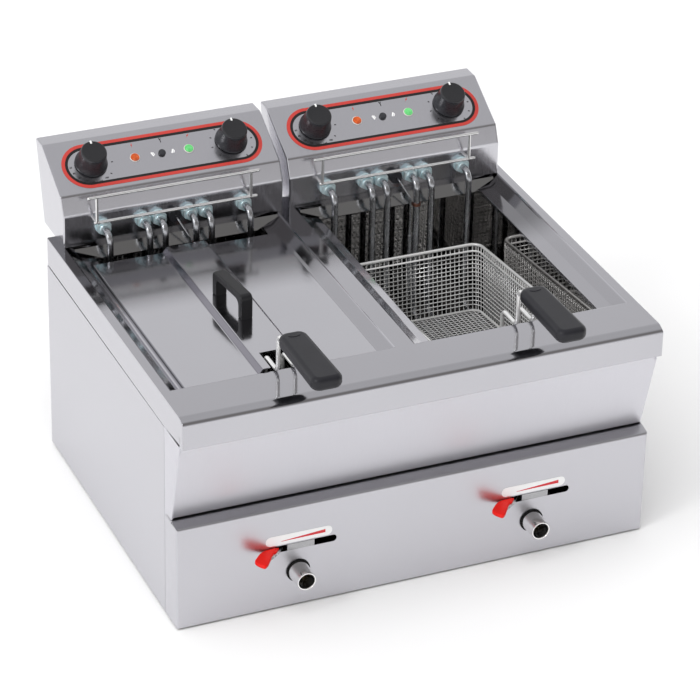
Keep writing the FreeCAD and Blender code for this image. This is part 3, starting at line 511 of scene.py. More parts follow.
bm = bmesh.new()
fold = bm.edges.layers.float.new("bevel_weight_edge")
rims = [rectangle(bm, 0, half_width, bevel_y, rear, deck_top)]
for shift, reach, lean, drop in well_levels:
    middle = tank_xs[1] + shift
    rims.append(rectangle(bm, middle - reach, middle + reach, well_front + lean, well_rear - lean,
                          deck_top - drop))
for outer, inner in zip(rims, rims[1:]):
    bmesh.ops.bridge_loops(bm, edges=outer + inner)
bmesh.ops.mirror(bm, geom=bm.verts[:] + bm.edges[:] + bm.faces[:], matrix=Matrix.Identity(4),
                 merge_dist=0.0001, axis="X")
lip = pulled(bm, row(bm, 1, bevel_y), (0, lip_y - bevel_y, bevel_z - deck_top))
lip = pulled(bm, lip, (0, 0, skirt_bottom - bevel_z))
pulled(bm, lip, (0, lip_hem, 0))
pulled(bm, row(bm, 1, rear), (0, 0, skirt_bottom + skirt_gap - deck_top))
for x in (-half_width, half_width):
    skirt = ((bevel_y, deck_top), (lip_y, bevel_z), (lip_y, skirt_bottom), (rear, skirt_bottom + skirt_gap),
             (rear, deck_top))
    bm.faces.new([bm.verts.new((x, y, z)) for y, z in skirt])
bmesh.ops.remove_doubles(bm, verts=bm.verts, dist=0.0001)
for edge in bm.edges:
    middle = (edge.verts[0].co + edge.verts[1].co) / 2
    if edge.calc_face_angle(0) < 0.1:
        edge[fold] = 0
    elif abs(middle.x) < inner_half and middle.y < bevel_y + 0.0001 and middle.z > skirt_bottom + 0.001:
        edge[fold] = 1
    elif abs(middle.x) > inner_half or middle.y > rear - 0.001:
        edge[fold] = 0.5
    else:
        edge[fold] = 0.25
bm.normal_update()
for face in bm.faces:
    if abs(face.normal.x) > 0.9 and abs(face.calc_center_median().x) > inner_half:
        face.material_index = 1
deck = folded(bm, "deck_sheet", "chassis", deck_steel, deck_bend, deck_thickness)
deck.data.materials.append(side_steel)
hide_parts("deck")

# Drain taps: a chromed nozzle through a black rubber gasket, fed by a brass ball valve and a pipe from
# the tank's floor. A flat block on the lever's hub fills the middle of the slot.
nozzle_chrome = finish("nozzle_chrome", 0.95, (0.86, 0.85, 0.84), 1, (0.16, 0.22), 300, 40, 0.05)
gasket_rubber = finish("gasket_rubber", 0.008, 0.005, 0, (0.6, 0.7), 900, 80, 0.2, 0.15)
valve_brass = finish("valve_brass", (0.6, 0.46, 0.22), (0.48, 0.35, 0.16), 1, (0.25, 0.4), 400, 50, 0.1)
nozzle_profile = [(0.0075, -0.008), (0.013, -0.008), (0.013, 0.003), (0.0117, 0.026), (0.0113, 0.027),
                  (0.0101, 0.027), (0.0096, 0.0262), (0.0092, 0.016), (0.0075, 0.012), (0.0075, -0.008)]
gasket_profile = [(0.0131, 0), (0.0143, 0), (0.0146, 0.0004), (0.0146, 0.0017), (0.0142, 0.0021),
                  (0.0131, 0.0021)]
nozzles = bmesh.new()
gaskets = bmesh.new()
for x in tank_xs:
    place = moved(x, front, tap_height) @ facing_front
    turned(nozzles, nozzle_profile, place, 48)
    turned(gaskets, gasket_profile, place, 48)
nozzle_pair = smoothed(linked(nozzles, "nozzle_pair", "chassis", nozzle_chrome))
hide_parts("drain_nozzles")
gasket_pair = smoothed(linked(gaskets, "gasket_pair", "chassis", gasket_rubber))
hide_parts("nozzle_gaskets")
# Painted shade: the valve balls are dark steel, so the nozzle's bore looks shaded inside.
painted_shade_ball = finish("painted_shade_ball", (0.12, 0.11, 0.1), (0.08, 0.075, 0.07), 1, (0.3, 0.4), 300, 60, 0.05)
coated("valve_bodies", valve_brass)
coated("drain_pipes", base_steel)

lever_steel = finish(
    "lever_steel", (0.74, 0.74, 0.75), (0.66, 0.66, 0.67), 1, (0.2, 0.3), (500, 500, 60), 30, 0.08)
block_steel = finish(
    "block_steel", (0.46, 0.46, 0.47), (0.4, 0.4, 0.41), 1, (0.25, 0.35), (60, 60, 600), 30, 0.05)
block_size = Matrix.Diagonal((0.034, 0.006, 0.0084, 1))
block_shift = 0.003
block_depth = 0.0025


def rounded(bm, edges, radius, steps):
    """Rounds a set of edges in a few steps."""
    bmesh.ops.bevel(bm, geom=edges, offset=radius, segments=steps, profile=0.5, affect="EDGES", material=-1)


for side, x in tank_sides:
    coated(side + "_valve_ball", painted_shade_ball)
    coated(side + "_drain_lever", lever_steel)
    bm = bmesh.new()
    place = moved(x + block_shift, front + block_depth, lever_height)
    bmesh.ops.create_cube(bm, size=1, matrix=place @ block_size)
    rounded(bm, bm.edges[:], 0.0005, 2)
    block = smoothed(linked(bm, side + "_hub_block", side + "_valve", block_steel))

# Lever paddles: the outer end of each steel lever, dipped in soft red vinyl that sets thick and rounded
# at the tip.
paddle_vinyl = finish(
    "paddle_vinyl", (0.76, 0.01, 0.005), (0.66, 0.008, 0.004), 0, (0.3, 0.4), 500, 60, 0.15, 0.25)
paddle_outline = ((-0.025, -0.0018), (-0.0304, -0.0091), (-0.0355, -0.0118), (-0.0432, -0.0217),
                  (-0.0495, -0.03), (-0.0545, -0.0325), (-0.0595, -0.026), (-0.061, -0.0185),
                  (-0.0553, -0.0114), (-0.049, -0.0053), (-0.0417, -0.002), (-0.0334, -0.0016))
paddle_depth = 0.001
paddle_low = 0.0815
paddle_thickness = 0.0052


def eased(points, steps):
    """A closed line that runs smoothly through all its points."""
    line = []
    count = len(points)
    for i in range(count):
        a, b, c, d = (Vector(points[(i + k) % count]) for k in range(4))
        for step in range(steps):
            t = step / steps
            line.append(b + (c - a) * t / 2 + (2 * a - 5 * b + 4 * c - d) * t ** 2 / 2
                        + (3 * b - a - 3 * c + d) * t ** 3 / 2)
    return line


def thickened(bm, points, shift):
    """Draws a flat outline out into a block."""
    face = bm.faces.new([bm.verts.new(p) for p in points])
    drawn = bmesh.ops.extrude_face_region(bm, geom=[face])["geom"]
    bmesh.ops.translate(bm, verts=[v for v in drawn if isinstance(v, bmesh.types.BMVert)], vec=shift)


def rim_edges(bm, axis):
    """The sharp edges of a block that keep one place along an axis."""
    return [e for e in bm.edges
            if abs(e.verts[0].co[axis] - e.verts[1].co[axis]) < 0.0001 and e.calc_face_angle(0) > 1]


for side, x in tank_sides:
    bm = bmesh.new()
    outline = [(x + p.x, front + p.y + paddle_depth, paddle_low) for p in eased(paddle_outline, 5)]
    thickened(bm, outline, (0, 0, paddle_thickness))
    rounded(bm, rim_edges(bm, 2), 0.0016, 4)
    face_outward(bm)
    paddle = smoothed(linked(bm, side + "_paddle", side + "_valve", paddle_vinyl), 40)
    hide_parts(side + "_lever_paddle")

# Tap labels: pills of printed white vinyl stuck on the panel over each slot, with a red wedge that grows
# towards the open end.
label_vinyl = finish("label_vinyl", 0.86, 0.8, 0, (0.3, 0.4), 300, 40, 0.05)
label_red = finish("label_red", (0.62, 0.02, 0.03), (0.55, 0.016, 0.025), 0, (0.3, 0.4), 300, 60, 0.05)


def pill(bm, half_length, radius, place):
    """A flat round-ended face."""
    half_step = Matrix.Rotation(math.pi / 64, 4, "Z")
    verts = bmesh.ops.create_circle(bm, cap_ends=True, segments=64, radius=radius, matrix=half_step)["verts"]
    for v in verts:
        v.co.x += math.copysign(half_length - radius, v.co.x)
    face = verts[0].link_faces[0]
    bmesh.ops.transform(bm, matrix=place, verts=verts)
    return face


def printed_shape(bm, outline, place, ink):
    """A small printed sign with an outline of points."""
    face = bm.faces.new([bm.verts.new(place @ Vector((a, b, 0))) for a, b in outline])
    face.material_index = ink


label_shift = 0.0005
label_z = 0.0953
label_half = 0.0415
label_radius = 0.0063
wedge_outline = ((-0.022, -0.0022), (0.033, -0.0019), (0.033, 0.0024), (-0.022, -0.0017))
wedge_lift = 0.0001
film_lift = 0.0003
film_thickness = 0.0002
bm = bmesh.new()
for x in tank_xs:
    place = moved(x + label_shift, front - film_lift, label_z) @ facing_front
    pill(bm, label_half, label_radius, place)
    printed_shape(bm, wedge_outline, moved(0, -wedge_lift, 0) @ place, 1)
labels = linked(bm, "tap_labels", "chassis", label_vinyl, label_red)
backing = labels.modifiers.new("backing", "SOLIDIFY")
backing.thickness = film_thickness

# Heads: control boxes folded from one stainless sheet, open at the back and bottom, where a cover closes
# them. They stand on the rear of the deck and lift off.
head_steel = finish(
    "head_steel", (0.625, 0.621, 0.656), (0.58, 0.576, 0.609), 1, (0.16, 0.25), (600, 60, 60), 7, 0.04)
# Painted shade: the splash shields get a steel darker than the head's, for their place in the shade under the
# heads.
painted_shade_shield_steel = finish("painted_shade_shield_steel", 0.36, 0.3, 1, (0.1, 0.16), (600, 60, 60), 9, 0.02)
head_y = front + 0.415
head_half = 0.1425
head_bend = 0.0022
head_sides = (("left", -0.147), ("right", 0.147))
head_outline = ((0, 0.292), (0.073684, 0.292), (0.099684, 0.3945), (0.076684, 0.3945), (0.01, 0.356),
                (0, 0.333))
for side, x in head_sides:
    bm = bmesh.new()
    near = [bm.verts.new((x - head_half, head_y + y, z)) for y, z in head_outline]
    bm.faces.new(near)
    kept_open = [e for e in bm.edges if near[1] in e.verts]
    pulled(bm, [e for e in bm.edges if e not in kept_open], (2 * head_half, 0, 0))
    bm.faces.new([bm.verts.new((x + head_half, head_y + y, z)) for y, z in head_outline])
    bmesh.ops.remove_doubles(bm, verts=bm.verts, dist=0.00001)
    mark_folds(bm)
    shell = folded(bm, side + "_control_box", side + "_head", head_steel, head_bend, sheet)
    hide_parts(side + "_head_shell")
    coated(side + "_head_cover", head_steel)
    coated(side + "_splash_shield", painted_shade_shield_steel)

# Control panel print: a red ring with a black inner line round the controls of each head, screen
# printed on the sloping steel, with dial numbers, ticks and small signs.
print_red = finish("print_red", (0.52, 0.045, 0.035), (0.46, 0.036, 0.028), 0, (0.3, 0.42), 400, 60, 0.05)
print_black = finish("print_black", 0.006, (0.012, 0.01, 0.01), 0, (0.5, 0.6), 400, 60, 0.05)
print_white = finish("print_white", 0.85, 0.78, 0, (0.3, 0.42), 400, 60, 0.05)
panel_slope = Matrix.Rotation(math.radians(30), 4, "X")
panel_y = head_y + 0.04334
panel_z = 0.37525
knob_offset = 0.091
lamp_offset = 0.035
ring_half = 0.129
ring_radius = 0.032
red_width = 0.0044
black_width = 0.0035
dial_steps = ((181, "60"), (201, "80"), (220, "100"), (239, "120"), (259, "140"), (280, "160"), (300, "180"))
dial_rise = 0.001
number_reach = 0.0262
number_height = 0.0034
tick_outline = ((0.0252, -0.0005), (0.0275, -0.0005), (0.0275, 0.0005), (0.0252, 0.0005))
tick_turns = ((-knob_offset, (321, 359)), (knob_offset, range(-60, 250, 31)))
bolt = ((-0.0006, -0.0035), (0.0012, 0.0006), (0.0002, 0.0006), (0.0012, 0.0036), (-0.0012, -0.0002),
        (-0.0001, -0.0002))
fork = ((-0.0004, -0.0032), (0.0004, -0.0032), (0.0004, 0), (0.0016, 0.003), (0.0008, 0.003), (0, 0.0012),
        (-0.0008, 0.003), (-0.0016, 0.003), (-0.0004, 0))
dash = ((-0.0009, -0.003), (0.0009, -0.003), (0.0012, 0.003), (-0.0012, 0.003))
dash_shadow = ((0.0016, -0.0025), (0.0026, -0.0015), (0.0026, 0.0018), (0.0016, 0.0026))
signs = [(tick_outline, centre, 0, math.radians(turn), 1) for centre, turns in tick_turns for turn in turns]
signs += [(bolt, -lamp_offset + 0.001, 0.0187, 0, 0), (bolt, lamp_offset + 0.004, 0.0195, -0.5, 0),
          (fork, 0.0035, 0.019, 0, 1)]
for across, turn in ((-0.0122, 0.3), (0.0139, -0.5)):
    signs += [(dash, across, 0.0005, turn, 2), (dash_shadow, across, 0.0005, turn, 2)]


def on_panel(x):
    """The frame of a head's sloping panel: its middle, +Y up the slope and +Z out of the panel."""
    return moved(x, panel_y, panel_z) @ panel_slope


def printed_text(bm, words, height, place):
    """Sets a number into a mesh, centred on its place."""
    curve = bpy.data.curves.new("number", "FONT")
    curve.body = words
    curve.size = height
    curve.align_x = "CENTER"
    curve.align_y = "CENTER"
    curve.resolution_u = 2
    letters = bpy.data.objects.new("number", curve)
    mesh = letters.to_mesh()
    mesh.transform(place)
    bm.from_mesh(mesh)
    letters.to_mesh_clear()
    bpy.data.objects.remove(letters)
    bpy.data.curves.remove(curve)


for side, x in head_sides:
    bm = bmesh.new()
    field = pill(bm, ring_half, ring_radius, on_panel(x) @ moved(0.0007, -0.001, film_lift))
    bmesh.ops.inset_region(bm, faces=[field], thickness=red_width, use_even_offset=True, use_boundary=True)
    field = max(bm.faces, key=lambda face: len(face.verts))
    line = bmesh.ops.inset_region(bm, faces=[field], thickness=black_width, use_even_offset=True,
                                  use_boundary=True)["faces"]
    for face in line:
        face.material_index = 1
    bmesh.ops.delete(bm, geom=[max(bm.faces, key=lambda face: len(face.verts))], context="FACES")
    place = on_panel(x) @ moved(0, 0, film_lift)
    before = set(bm.faces)
    for degrees, words in dial_steps:
        angle = math.radians(degrees)
        across = number_reach * math.cos(angle) - knob_offset
        up = number_reach * math.sin(angle) + dial_rise
        printed_text(bm, words, number_height, place @ moved(across, up, 0))
    for face in bm.faces:
        if face not in before:
            face.material_index = 1
    for outline, across, up, turn, ink in signs:
        spot = moved(across, up, 0) @ Matrix.Rotation(turn, 4, "Z")
        printed_shape(bm, outline, place @ spot, ink)
    face_outward(bm)
    panel_up = panel_slope.to_3x3() @ Vector((0, 0, 1))
    bmesh.ops.reverse_faces(bm, faces=[face for face in bm.faces if face.normal.dot(panel_up) < 0])
    ink = linked(bm, side + "_panel_print", side + "_head", print_red, print_black, print_white)
    film = ink.modifiers.new("film", "SOLIDIFY")
    film.thickness = film_thickness

# Signal lamps: clear faceted plastic lenses pressed into pale bezels, amber for heating and green for the
# mains.
bezel_plastic = finish(
    "bezel_plastic", (0.75, 0.72, 0.68), (0.65, 0.62, 0.58), 0, (0.25, 0.35), 500, 90, 0.05)


def lens_finish(name, pale, deep, glow):
    """A glossy coloured lens, lit a little from inside."""
    material = finish(name, pale, deep, 0, (0.08, 0.16), 900, 300, 0.1)
    preset(material.node_tree.nodes["Principled BSDF"], ("Emission Color", (*pale, 1)),
           ("Emission Strength", glow), ("Coat Weight", 0.6))
    return material


lens_amber = lens_finish("lens_amber", (0.8, 0.14, 0.01), (0.22, 0.015, 0.002), 0.06)
lens_green = lens_finish("lens_green", (0.2, 0.75, 0.26), (0.03, 0.3, 0.06), 0.1)
bezel_profile = [(0.0056, -0.004), (0.0063, -0.004), (0.0063, 0.0006), (0.0061, 0.0009), (0.0057, 0.001),
                 (0.0056, 0.0008)]
lens_profile = [(0.0056, -0.002), (0.0056, 0.0012), (0.0053, 0.0019), (0.0044, 0.0018), (0.0041, 0.0023),
                (0.003, 0.0021), (0.0027, 0.0026), (0.0014, 0.0024), (0.0011, 0.0026), (0, 0.0026)]
for side, x in head_sides:
    for job, offset, lens_colour, slot in (("heating", -lamp_offset, lens_amber, "amber_lens"),
                                           ("mains", lamp_offset, lens_green, "green_lens")):
        bm = bmesh.new()
        place = on_panel(x) @ moved(offset, 0, 0)
        for face in turned(bm, bezel_profile, place, 24):
            face.material_index = 1
        turned(bm, lens_profile, place, 12)
        signal = smoothed(linked(bm, side + "_" + job + "_signal", side + "_head", lens_colour,
                                 bezel_plastic), 20)
        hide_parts(side + "_" + job + "_lamp")

# Knobs and reset button: moulded black plastic, the knobs tapered with a white pointer let into the
# top edge, on the spindles of the thermostat and the timer.
knob_plastic = finish(
    "knob_plastic", (0.026, 0.027, 0.032), (0.018, 0.019, 0.023), 0, (0.25, 0.34), 700, 60, 0.04)
knob_top = finish("knob_top", (0.016, 0.016, 0.018), (0.012, 0.012, 0.014), 0, (0.5, 0.6), 700, 60, 0.1)
knob_rise = 0.002
knob_crown = 0.02535
pointer_place = moved(0, 0.0138, 0.0252) @ Matrix.Diagonal((0.0022, 0.0042, 0.0018, 1))
knob_profile = [(0.003, -0.014), (0.003, 0.0006), (0.0198, 0.0006), (0.0203, 0.0012), (0.0203, 0.003),
                (0.0197, 0.0048), (0.0184, 0.0075), (0.0174, 0.0125), (0.0167, 0.0185), (0.0162, 0.0225),
                (0.016, 0.0241), (0.0153, 0.0253), (0.0142, 0.0259), (0.0134, 0.0256), (0, 0.0254)]
button_profile = [(0.0025, -0.012), (0.0025, -0.006), (0.0046, -0.006), (0.0046, 0.002), (0.0042, 0.0028),
                  (0.0032, 0.0032), (0, 0.0033)]
for side, x in head_sides:
    for job, offset in (("thermostat", -knob_offset), ("timer", knob_offset)):
        bm = bmesh.new()
        place = on_panel(x) @ moved(offset, knob_rise, 0)
        for face in turned(bm, knob_profile, place, 56):
            if (place.inverted() @ face.calc_center_median()).z > knob_crown:
                face.material_index = 2
        pointer = bmesh.ops.create_cube(bm, size=1, matrix=place @ pointer_place)["verts"]
        for face in {face for v in pointer for face in v.link_faces}:
            face.material_index = 1
        knob = smoothed(linked(bm, side + "_" + job + "_grip", side + "_" + job + "_dial", knob_plastic,
                               print_white, knob_top))
        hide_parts(side + "_" + job + "_knob")
    bm = bmesh.new()
    turned(bm, button_profile, on_panel(x), 24)
    button = smoothed(linked(bm, side + "_reset_cap", side + "_reset", knob_plastic))
    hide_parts(side + "_reset_button")
    for unit in ("_thermostats", "_timer", "_glands"):
        coated(side + unit, knob_plastic)

# Heating elements: three sheathed tubes on each head, bent down the back of the tank and round a flat
# hairpin under the basket, with the thermostat's probe clipped to one leg.
element_steel = finish(
    "element_steel", (0.6, 0.61, 0.64), (0.42, 0.43, 0.45), 1, (0.22, 0.3), (300, 300, 60), 25, 0.1)
clip_copper = finish("clip_copper", (0.42, 0.2, 0.14), (0.32, 0.14, 0.1), 1, (0.3, 0.4), 300, 60, 0.1)


def wire(bm, points, bend, radius, sides=12, steps=6):
    """Draws a round wire along straight runs with rounded bends between them."""
    points = [Vector(p) for p in points]
    heading = (points[1] - points[0]).normalized()
    place = Matrix.Translation(points[0]) @ heading.to_track_quat("Z", "X").to_matrix().to_4x4()
    start = bmesh.ops.create_circle(bm, cap_ends=True, segments=sides, radius=radius, matrix=place)["verts"]
    ring = list({e for v in start for e in v.link_edges})
    at = points[0]
    for corner, after in zip(points[1:], points[2:]):
        onward = (after - corner).normalized()
        angle = heading.angle(onward)
        reach = bend * math.tan(angle / 2)
        bend_start = corner - heading * reach
        ring = pulled(bm, ring, bend_start - at)
        axis = heading.cross(onward).normalized()
        ends = list({v for e in ring for v in e.verts})
        spun = bmesh.ops.spin(bm, geom=ends + ring, cent=bend_start + axis.cross(heading) * bend, axis=axis,
                              angle=angle, steps=steps)["geom_last"]
        ring = [e for e in spun if isinstance(e, bmesh.types.BMEdge)]
        at = corner + onward * reach
        heading = onward
    ring = pulled(bm, ring, points[-1] - at)
    bmesh.ops.contextual_create(bm, geom=ring)


leg_y = front + 0.388
leg_z = 0.314
element_z = 0.126
tail_y = head_y + 0.014
hairpin_y = front + 0.088
leg_shift = -0.002
element_radius = 0.00425
element_bend = 0.013
leg_offsets = (-0.091, -0.04, -0.02, 0.02, 0.04, 0.091)
probe_leg = 0.02
probe_gap = 0.00825
capillary_y = head_y - 0.018
capillary_z = 0.292
capillary_end = 0.241
capillary_bend = 0.006
capillary_radius = 0.0011
bulb_profile = [(0, 0), (0.0022, 0.0004), (0.003, 0.002), (0.003, 0.088), (0.0022, 0.0896), (0, 0.09)]
bulb_z = 0.151
clip_profile = [(0.0044, -0.0018), (0.0054, -0.0018), (0.0054, 0.0018), (0.0044, 0.0018), (0.0044, -0.0018)]
clip_z = 0.283
for side, x in head_sides:
    middle = x + leg_shift
    bm = bmesh.new()
    for a, b in zip(leg_offsets[::2], leg_offsets[1::2]):
        xa = middle + a
        xb = middle + b
        path = ((xa, tail_y, leg_z), (xa, leg_y, leg_z), (xa, leg_y, element_z), (xa, hairpin_y, element_z),
                (xb, hairpin_y, element_z), (xb, leg_y, element_z), (xb, leg_y, leg_z), (xb, tail_y, leg_z))
        wire(bm, path, min(element_bend, (xb - xa - 0.001) / 2), element_radius, 16, 8)
    face_outward(bm)
    elements = smoothed(linked(bm, side + "_elements", side + "_head", element_steel))
    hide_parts(side + "_heating_elements")

    bm = bmesh.new()
    probe_x = middle + probe_leg - probe_gap
    path = ((middle, tail_y, leg_z), (middle, capillary_y, leg_z), (probe_x, leg_y, capillary_z),
            (probe_x, leg_y, capillary_end))
    wire(bm, path, capillary_bend, capillary_radius, 10, 4)
    turned(bm, bulb_profile, moved(probe_x, leg_y, bulb_z), 16)
    for face in turned(bm, clip_profile, moved(middle + probe_leg, leg_y, clip_z), 20):
        face.material_index = 1
    face_outward(bm)
    probe = smoothed(linked(bm, side + "_probe", side + "_head", element_steel, clip_copper))
    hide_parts(side + "_temperature_probe")

# Element nuts: hexagon nuts of zinc-plated steel, bluish white, on round washers. They clamp each leg of
# the elements to the head's face.
nut_zinc = finish("nut_zinc", 1.0, (0.42, 0.74, 0.82), 0.45, (0.06, 0.14), 500, 260, 0.2)
nut_radius = 0.0098
nut_height = 0.007
nut_middle = moved(0, 0, 0.0055)
washer_profile = [(0.0043, 0), (0.0097, 0), (0.01, 0.0004), (0.01, 0.0016), (0.0097, 0.002), (0.0043, 0.002)]
collar_profile = [(0.0044, 0.008), (0.0064, 0.008), (0.0064, 0.0105), (0.006, 0.011), (0.0044, 0.011)]
for side, x in head_sides:
    bm = bmesh.new()
    for offset in leg_offsets:
        place = moved(x + leg_shift + offset, head_y, leg_z) @ facing_front
        turned(bm, washer_profile, place, 28)
        turned(bm, collar_profile, place, 20)
        nut = bmesh.ops.create_cone(bm, cap_ends=True, segments=6, radius1=nut_radius, radius2=nut_radius,
                                    depth=nut_height, matrix=place @ nut_middle)["verts"]
        rounded(bm, list({e for v in nut for e in v.link_edges}), 0.0007, 2)
    nuts = smoothed(linked(bm, side + "_leg_nuts", side + "_head", nut_zinc))
    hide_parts(side + "_element_nuts")

# Basket rails: two bright steel rods welded to two posts and held off the head's face by pins, to hang a
# lifted basket.
rail_steel = finish("rail_steel", 0.88, 0.76, 0.82, (0.12, 0.2), 400, 40, 0.05)
rail_y = head_y - 0.011
rail_low = 0.325
rail_high = 0.359
rail_radius = 0.0021
rail_shift = 0.004
rail_rods = ((rail_high, 0.1095, 0.1095), (rail_low, 0.1015, 0.1065))
post_offset = 0.0995
for side, x in head_sides:
    bm = bmesh.new()
    middle = x - rail_shift
    for z, left, right in rail_rods:
        wire(bm, ((middle - left, rail_y, z), (middle + right, rail_y, z)), 0, rail_radius)
        for end in (middle - left, middle + right):
            bmesh.ops.create_uvsphere(bm, u_segments=12, v_segments=8, radius=rail_radius,
                                      matrix=moved(end, rail_y, z))
    for post in (middle - post_offset, middle + post_offset):
        for end in ((post, rail_y, rail_high), (post, head_y + 0.001, rail_low)):
            wire(bm, ((post, rail_y, rail_low), end), 0, rail_radius)
    face_outward(bm)
    rail = smoothed(linked(bm, side + "_rail", side + "_head", rail_steel))
    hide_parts(side + "_basket_rail")

# Baskets: crossed wires bent up from the floor, ringed wires round the walls, all welded to a heavy rim.
# Two handle wires rise from the rim, rest on the deck and carry the grip.
bright_wire = finish("bright_wire", 0.86, (0.76, 0.76, 0.75), 0.55, (0.12, 0.22), 400, 40, 0.06)
basket_width = 0.183
basket_length = 0.28209
basket_depth = 0.096
basket_corner = 0.016
mesh_pitch = 0.006
mesh_radius = 0.0007
mesh_edge = 0.004
ring_inset = 0.0027
ring_start = 0.006
tilt = math.radians(5.6)
rim_back_y = front + 0.36175
rim_back_z = 0.23
wire_radius = 0.0025
handle_z = 0.2948
handle_spread = 0.01075
handle_bend = 0.008
stand_y = front + 0.042
grip_z = 0.342
grip_back = front + 0.033
rim_front_y = rim_back_y - basket_length * math.cos(tilt)
rim_front_z = rim_back_z + basket_length * math.sin(tilt) - wire_radius


def ring_wire(bm, inset, z, radius, sides, steps):
    """A closed wire round the basket, some way inside its outline."""
    x = basket_width / 2 - inset
    back = -inset
    ahead = -basket_length + inset
    path = ((0, back, z), (x, back, z), (x, ahead, z), (-x, ahead, z), (-x, back, z), (0, back, z))
    wire(bm, path, basket_corner - inset, radius, sides, steps)


def wall_reach(along, span, cross):
    """How far out a wall stands where a wire crosses the floor, less in the rounded corners."""
    into_corner = basket_corner - (span / 2 - abs(along))
    if into_corner <= 0:
        return cross / 2
    return cross / 2 - basket_corner + math.sqrt(max(basket_corner ** 2 - into_corner ** 2, 0))


for side, x in tank_sides:
    hung = moved(x, rim_back_y, rim_back_z) @ Matrix.Rotation(-tilt, 4, "X")
    net = bmesh.new()
    low = -basket_depth + mesh_radius
    middle = -basket_length / 2
    rows = round((basket_length - 2 * mesh_edge) / mesh_pitch)
    for i in range(rows + 1):
        along = (i / rows - 0.5) * (basket_length - 2 * mesh_edge)
        reach = wall_reach(along, basket_length, basket_width) - mesh_radius
        y = along + middle
        path = ((-reach, y, -mesh_edge), (-reach, y, low), (reach, y, low), (reach, y, -mesh_edge))
        wire(net, path, mesh_edge, mesh_radius, 6, 2)
    columns = round((basket_width - 2 * mesh_edge) / mesh_pitch)
    for i in range(columns + 1):
        across = (i / columns - 0.5) * (basket_width - 2 * mesh_edge)
        reach = wall_reach(across, basket_width, basket_length) - mesh_radius
        floor_z = low + 2 * mesh_radius
        path = ((across, middle + reach, -mesh_edge), (across, middle + reach, floor_z),
                (across, middle - reach, floor_z), (across, middle - reach, -mesh_edge))
        wire(net, path, mesh_edge, mesh_radius, 6, 2)
    rings = round((basket_depth - 2 * mesh_edge) / mesh_pitch)
    for i in range(1, rings):
        z = -ring_start - i * (basket_depth - 2 * ring_start) / rings
        ring_wire(net, ring_inset, z, mesh_radius, 6, 3)
    face_outward(net)
    bmesh.ops.transform(net, matrix=hung, verts=net.verts)
    basket_net = linked(net, side + "_basket_net", side + "_basket", bright_wire)
    basket_net.data.shade_smooth()
    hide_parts(side + "_basket_mesh", side + "_basket_corners")

    bm = bmesh.new()
    ring_wire(bm, wire_radius, -wire_radius, 0.002, 12, 6)
    ring_wire(bm, 0.0045, -0.0105, 0.0013, 10, 6)
    ring_wire(bm, 0.0035, low + 0.003, 0.0017, 8, 5)
    bmesh.ops.transform(bm, matrix=hung, verts=bm.verts)
    for wire_x in (x - handle_spread, x + handle_spread):
        path = ((wire_x, rim_front_y, rim_front_z), (wire_x, rim_front_y, handle_z),
                (wire_x, stand_y, handle_z), (wire_x, stand_y, grip_z), (wire_x, grip_back - 0.02, grip_z))
        wire(bm, path, handle_bend, wire_radius, 14, 8)
    face_outward(bm)
    basket_frame = smoothed(linked(bm, side + "_basket_wires", side + "_basket", bright_wire))
    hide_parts(side + "_basket_frame")

# Basket grips: heat-proof black plastic moulded over the handle wires, broad and flat, with a rounded
# front end and an oval plug over the wire ends.
grip_plastic = finish(
    "grip_plastic", (0.018, 0.018, 0.022), (0.012, 0.012, 0.015), 0, (0.3, 0.4), 800, 50, 0.15, 0.3)
grip_length = 0.115
grip_width = 0.036
grip_height = 0.017
front_taper = 38 / 36
back_taper = 34 / 36
plug_profile = [(0, 0.0006), (0.0052, 0.0006), (0.0058, 0.0002), (0.0058, -0.001)]
plug_inset = 0.012
plug_oval = Matrix.Diagonal((1.3, 0.6, 1, 1))
for side, x in tank_sides:
    bm = bmesh.new()
    bmesh.ops.create_cube(bm, size=1, matrix=Matrix.Diagonal((grip_width, grip_length, grip_height, 1)))
    for v in bm.verts:
        v.co.x *= front_taper if v.co.y < 0 else back_taper
    upright = [e for e in bm.edges if abs(e.verts[0].co.z - e.verts[1].co.z) > 0.001]
    rounded(bm, upright, 0.011, 6)
    rounded(bm, rim_edges(bm, 2), 0.0065, 6)
    bmesh.ops.translate(bm, verts=bm.verts, vec=(x, grip_back - grip_length / 2, grip_z))
    spot = moved(x, grip_back - plug_inset, grip_z + grip_height / 2) @ plug_oval
    turned(bm, plug_profile, spot, 28)
    grip = smoothed(linked(bm, side + "_grip", side + "_basket", grip_plastic))
    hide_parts(side + "_basket_grip")

# Lid of the left tank: a thin bright sheet with a raised middle and a notch for the handle wires, its
# sides hemmed to stand on the well's ledge, with a black bridge handle screwed on.
lid_steel = finish(
    "lid_steel", (0.66, 0.655, 0.693), (0.6, 0.596, 0.63), 1, (0.09, 0.14), (400, 60, 60), 6, 0.02)
# Painted shade: the lid darkens towards the heads, in place of their dark reflection in the steel.
paint_head_reflection(lid_steel, start=front + 0.228, end=front + 0.3, limit=painted_reflection_limit, depth=0.57)
# Painted shade: the sloping sides of the raised middle get a darker copy of the lid's steel, in place of the
# dark reflections along them.
painted_dark_slope_steel = finish(
    "painted_dark_slope_steel", (0.27, 0.262, 0.295), (0.24, 0.233, 0.265), 1, (0.14, 0.2), (400, 60, 60), 6, 0.02)
lid_x = tank_xs[0]
lid_rows = [front + y for y in (0.0526, 0.054, 0.0886, 0.36875)]
lid_half = 0.118
lid_z = 0.288
raised_z = 0.295
half_line = ((0.0155, raised_z), (0.025, raised_z), (0.03, lid_z), (lid_half, lid_z))
lid_line = [(-across, z) for across, z in reversed(half_line)] + list(half_line)
hem_depth = 0.0037
bm = bmesh.new()
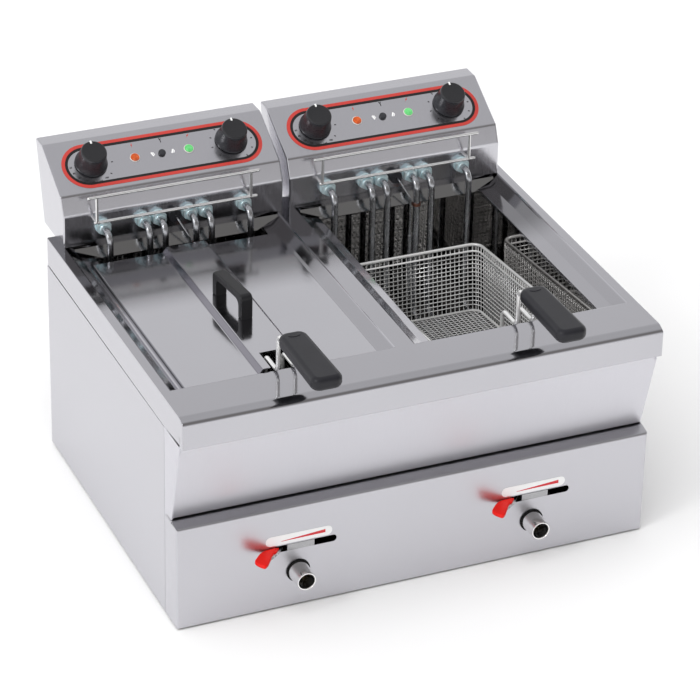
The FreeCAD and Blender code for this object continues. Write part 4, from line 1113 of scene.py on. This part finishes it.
points = [bm.verts.new((lid_x + across, lid_rows[0], z)) for across, z in lid_line]
edges = [bm.edges.new(pair) for pair in zip(points, points[1:])]
for here, there in zip(lid_rows, lid_rows[1:]):
    edges = pulled(bm, edges, (0, there - here, 0))
notch = [face for face in bm.faces if abs(face.calc_center_median().x - lid_x) < 0.001
         and face.calc_center_median().y < lid_rows[2]]
bmesh.ops.delete(bm, geom=notch, context="FACES")
for across in (-lid_half, lid_half):
    hem = [e for e in row(bm, 0, lid_x + across) if (e.verts[0].co.y + e.verts[1].co.y) / 2 > lid_rows[1]]
    pulled(bm, hem, (0, 0, -hem_depth))
mark_folds(bm)
# The sloping faces take the darker steel, a painted shade.
bm.normal_update()
for face in bm.faces:
    if 0.5 < abs(face.normal.x) < 0.95:
        face.material_index = 1
lid = folded(bm, "left_lid_sheet", "left_lid", lid_steel, 0.0012, 0.001)
lid.data.materials.append(painted_dark_slope_steel)
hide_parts("left_lid")

bridge_plastic = finish(
    "bridge_plastic", (0.008, 0.008, 0.01), (0.006, 0.006, 0.007), 0, (0.36, 0.44), 800, 50, 0.1)
handle_y = (lid_rows[0] + lid_rows[-1]) / 2 - 0.006
handle_x = lid_x - 0.003
handle_width = 0.016
handle_outline = ((-0.0375, 0), (-0.0375, 0.031), (0.0375, 0.031), (0.0375, 0), (0.0285, 0), (0.0285, 0.022),
                  (-0.0285, 0.022), (-0.0285, 0))
turned_a_little = Matrix.Rotation(math.radians(6), 4, "Z")
bm = bmesh.new()
thickened(bm, [(-handle_width / 2, y, z) for y, z in handle_outline], (handle_width, 0, 0))
corners = [e for e in bm.edges if abs(e.verts[0].co.x - e.verts[1].co.x) > 0.01 and e.verts[0].co.z > 0.01]
rounded(bm, corners, 0.007, 6)
rounded(bm, rim_edges(bm, 0), 0.0026, 3)
face_outward(bm)
place = moved(handle_x, handle_y, raised_z) @ turned_a_little
bmesh.ops.transform(bm, matrix=place, verts=bm.verts)
lid_handle = smoothed(linked(bm, "left_lid_bridge", "left_lid", bridge_plastic))
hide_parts("left_lid_handle")
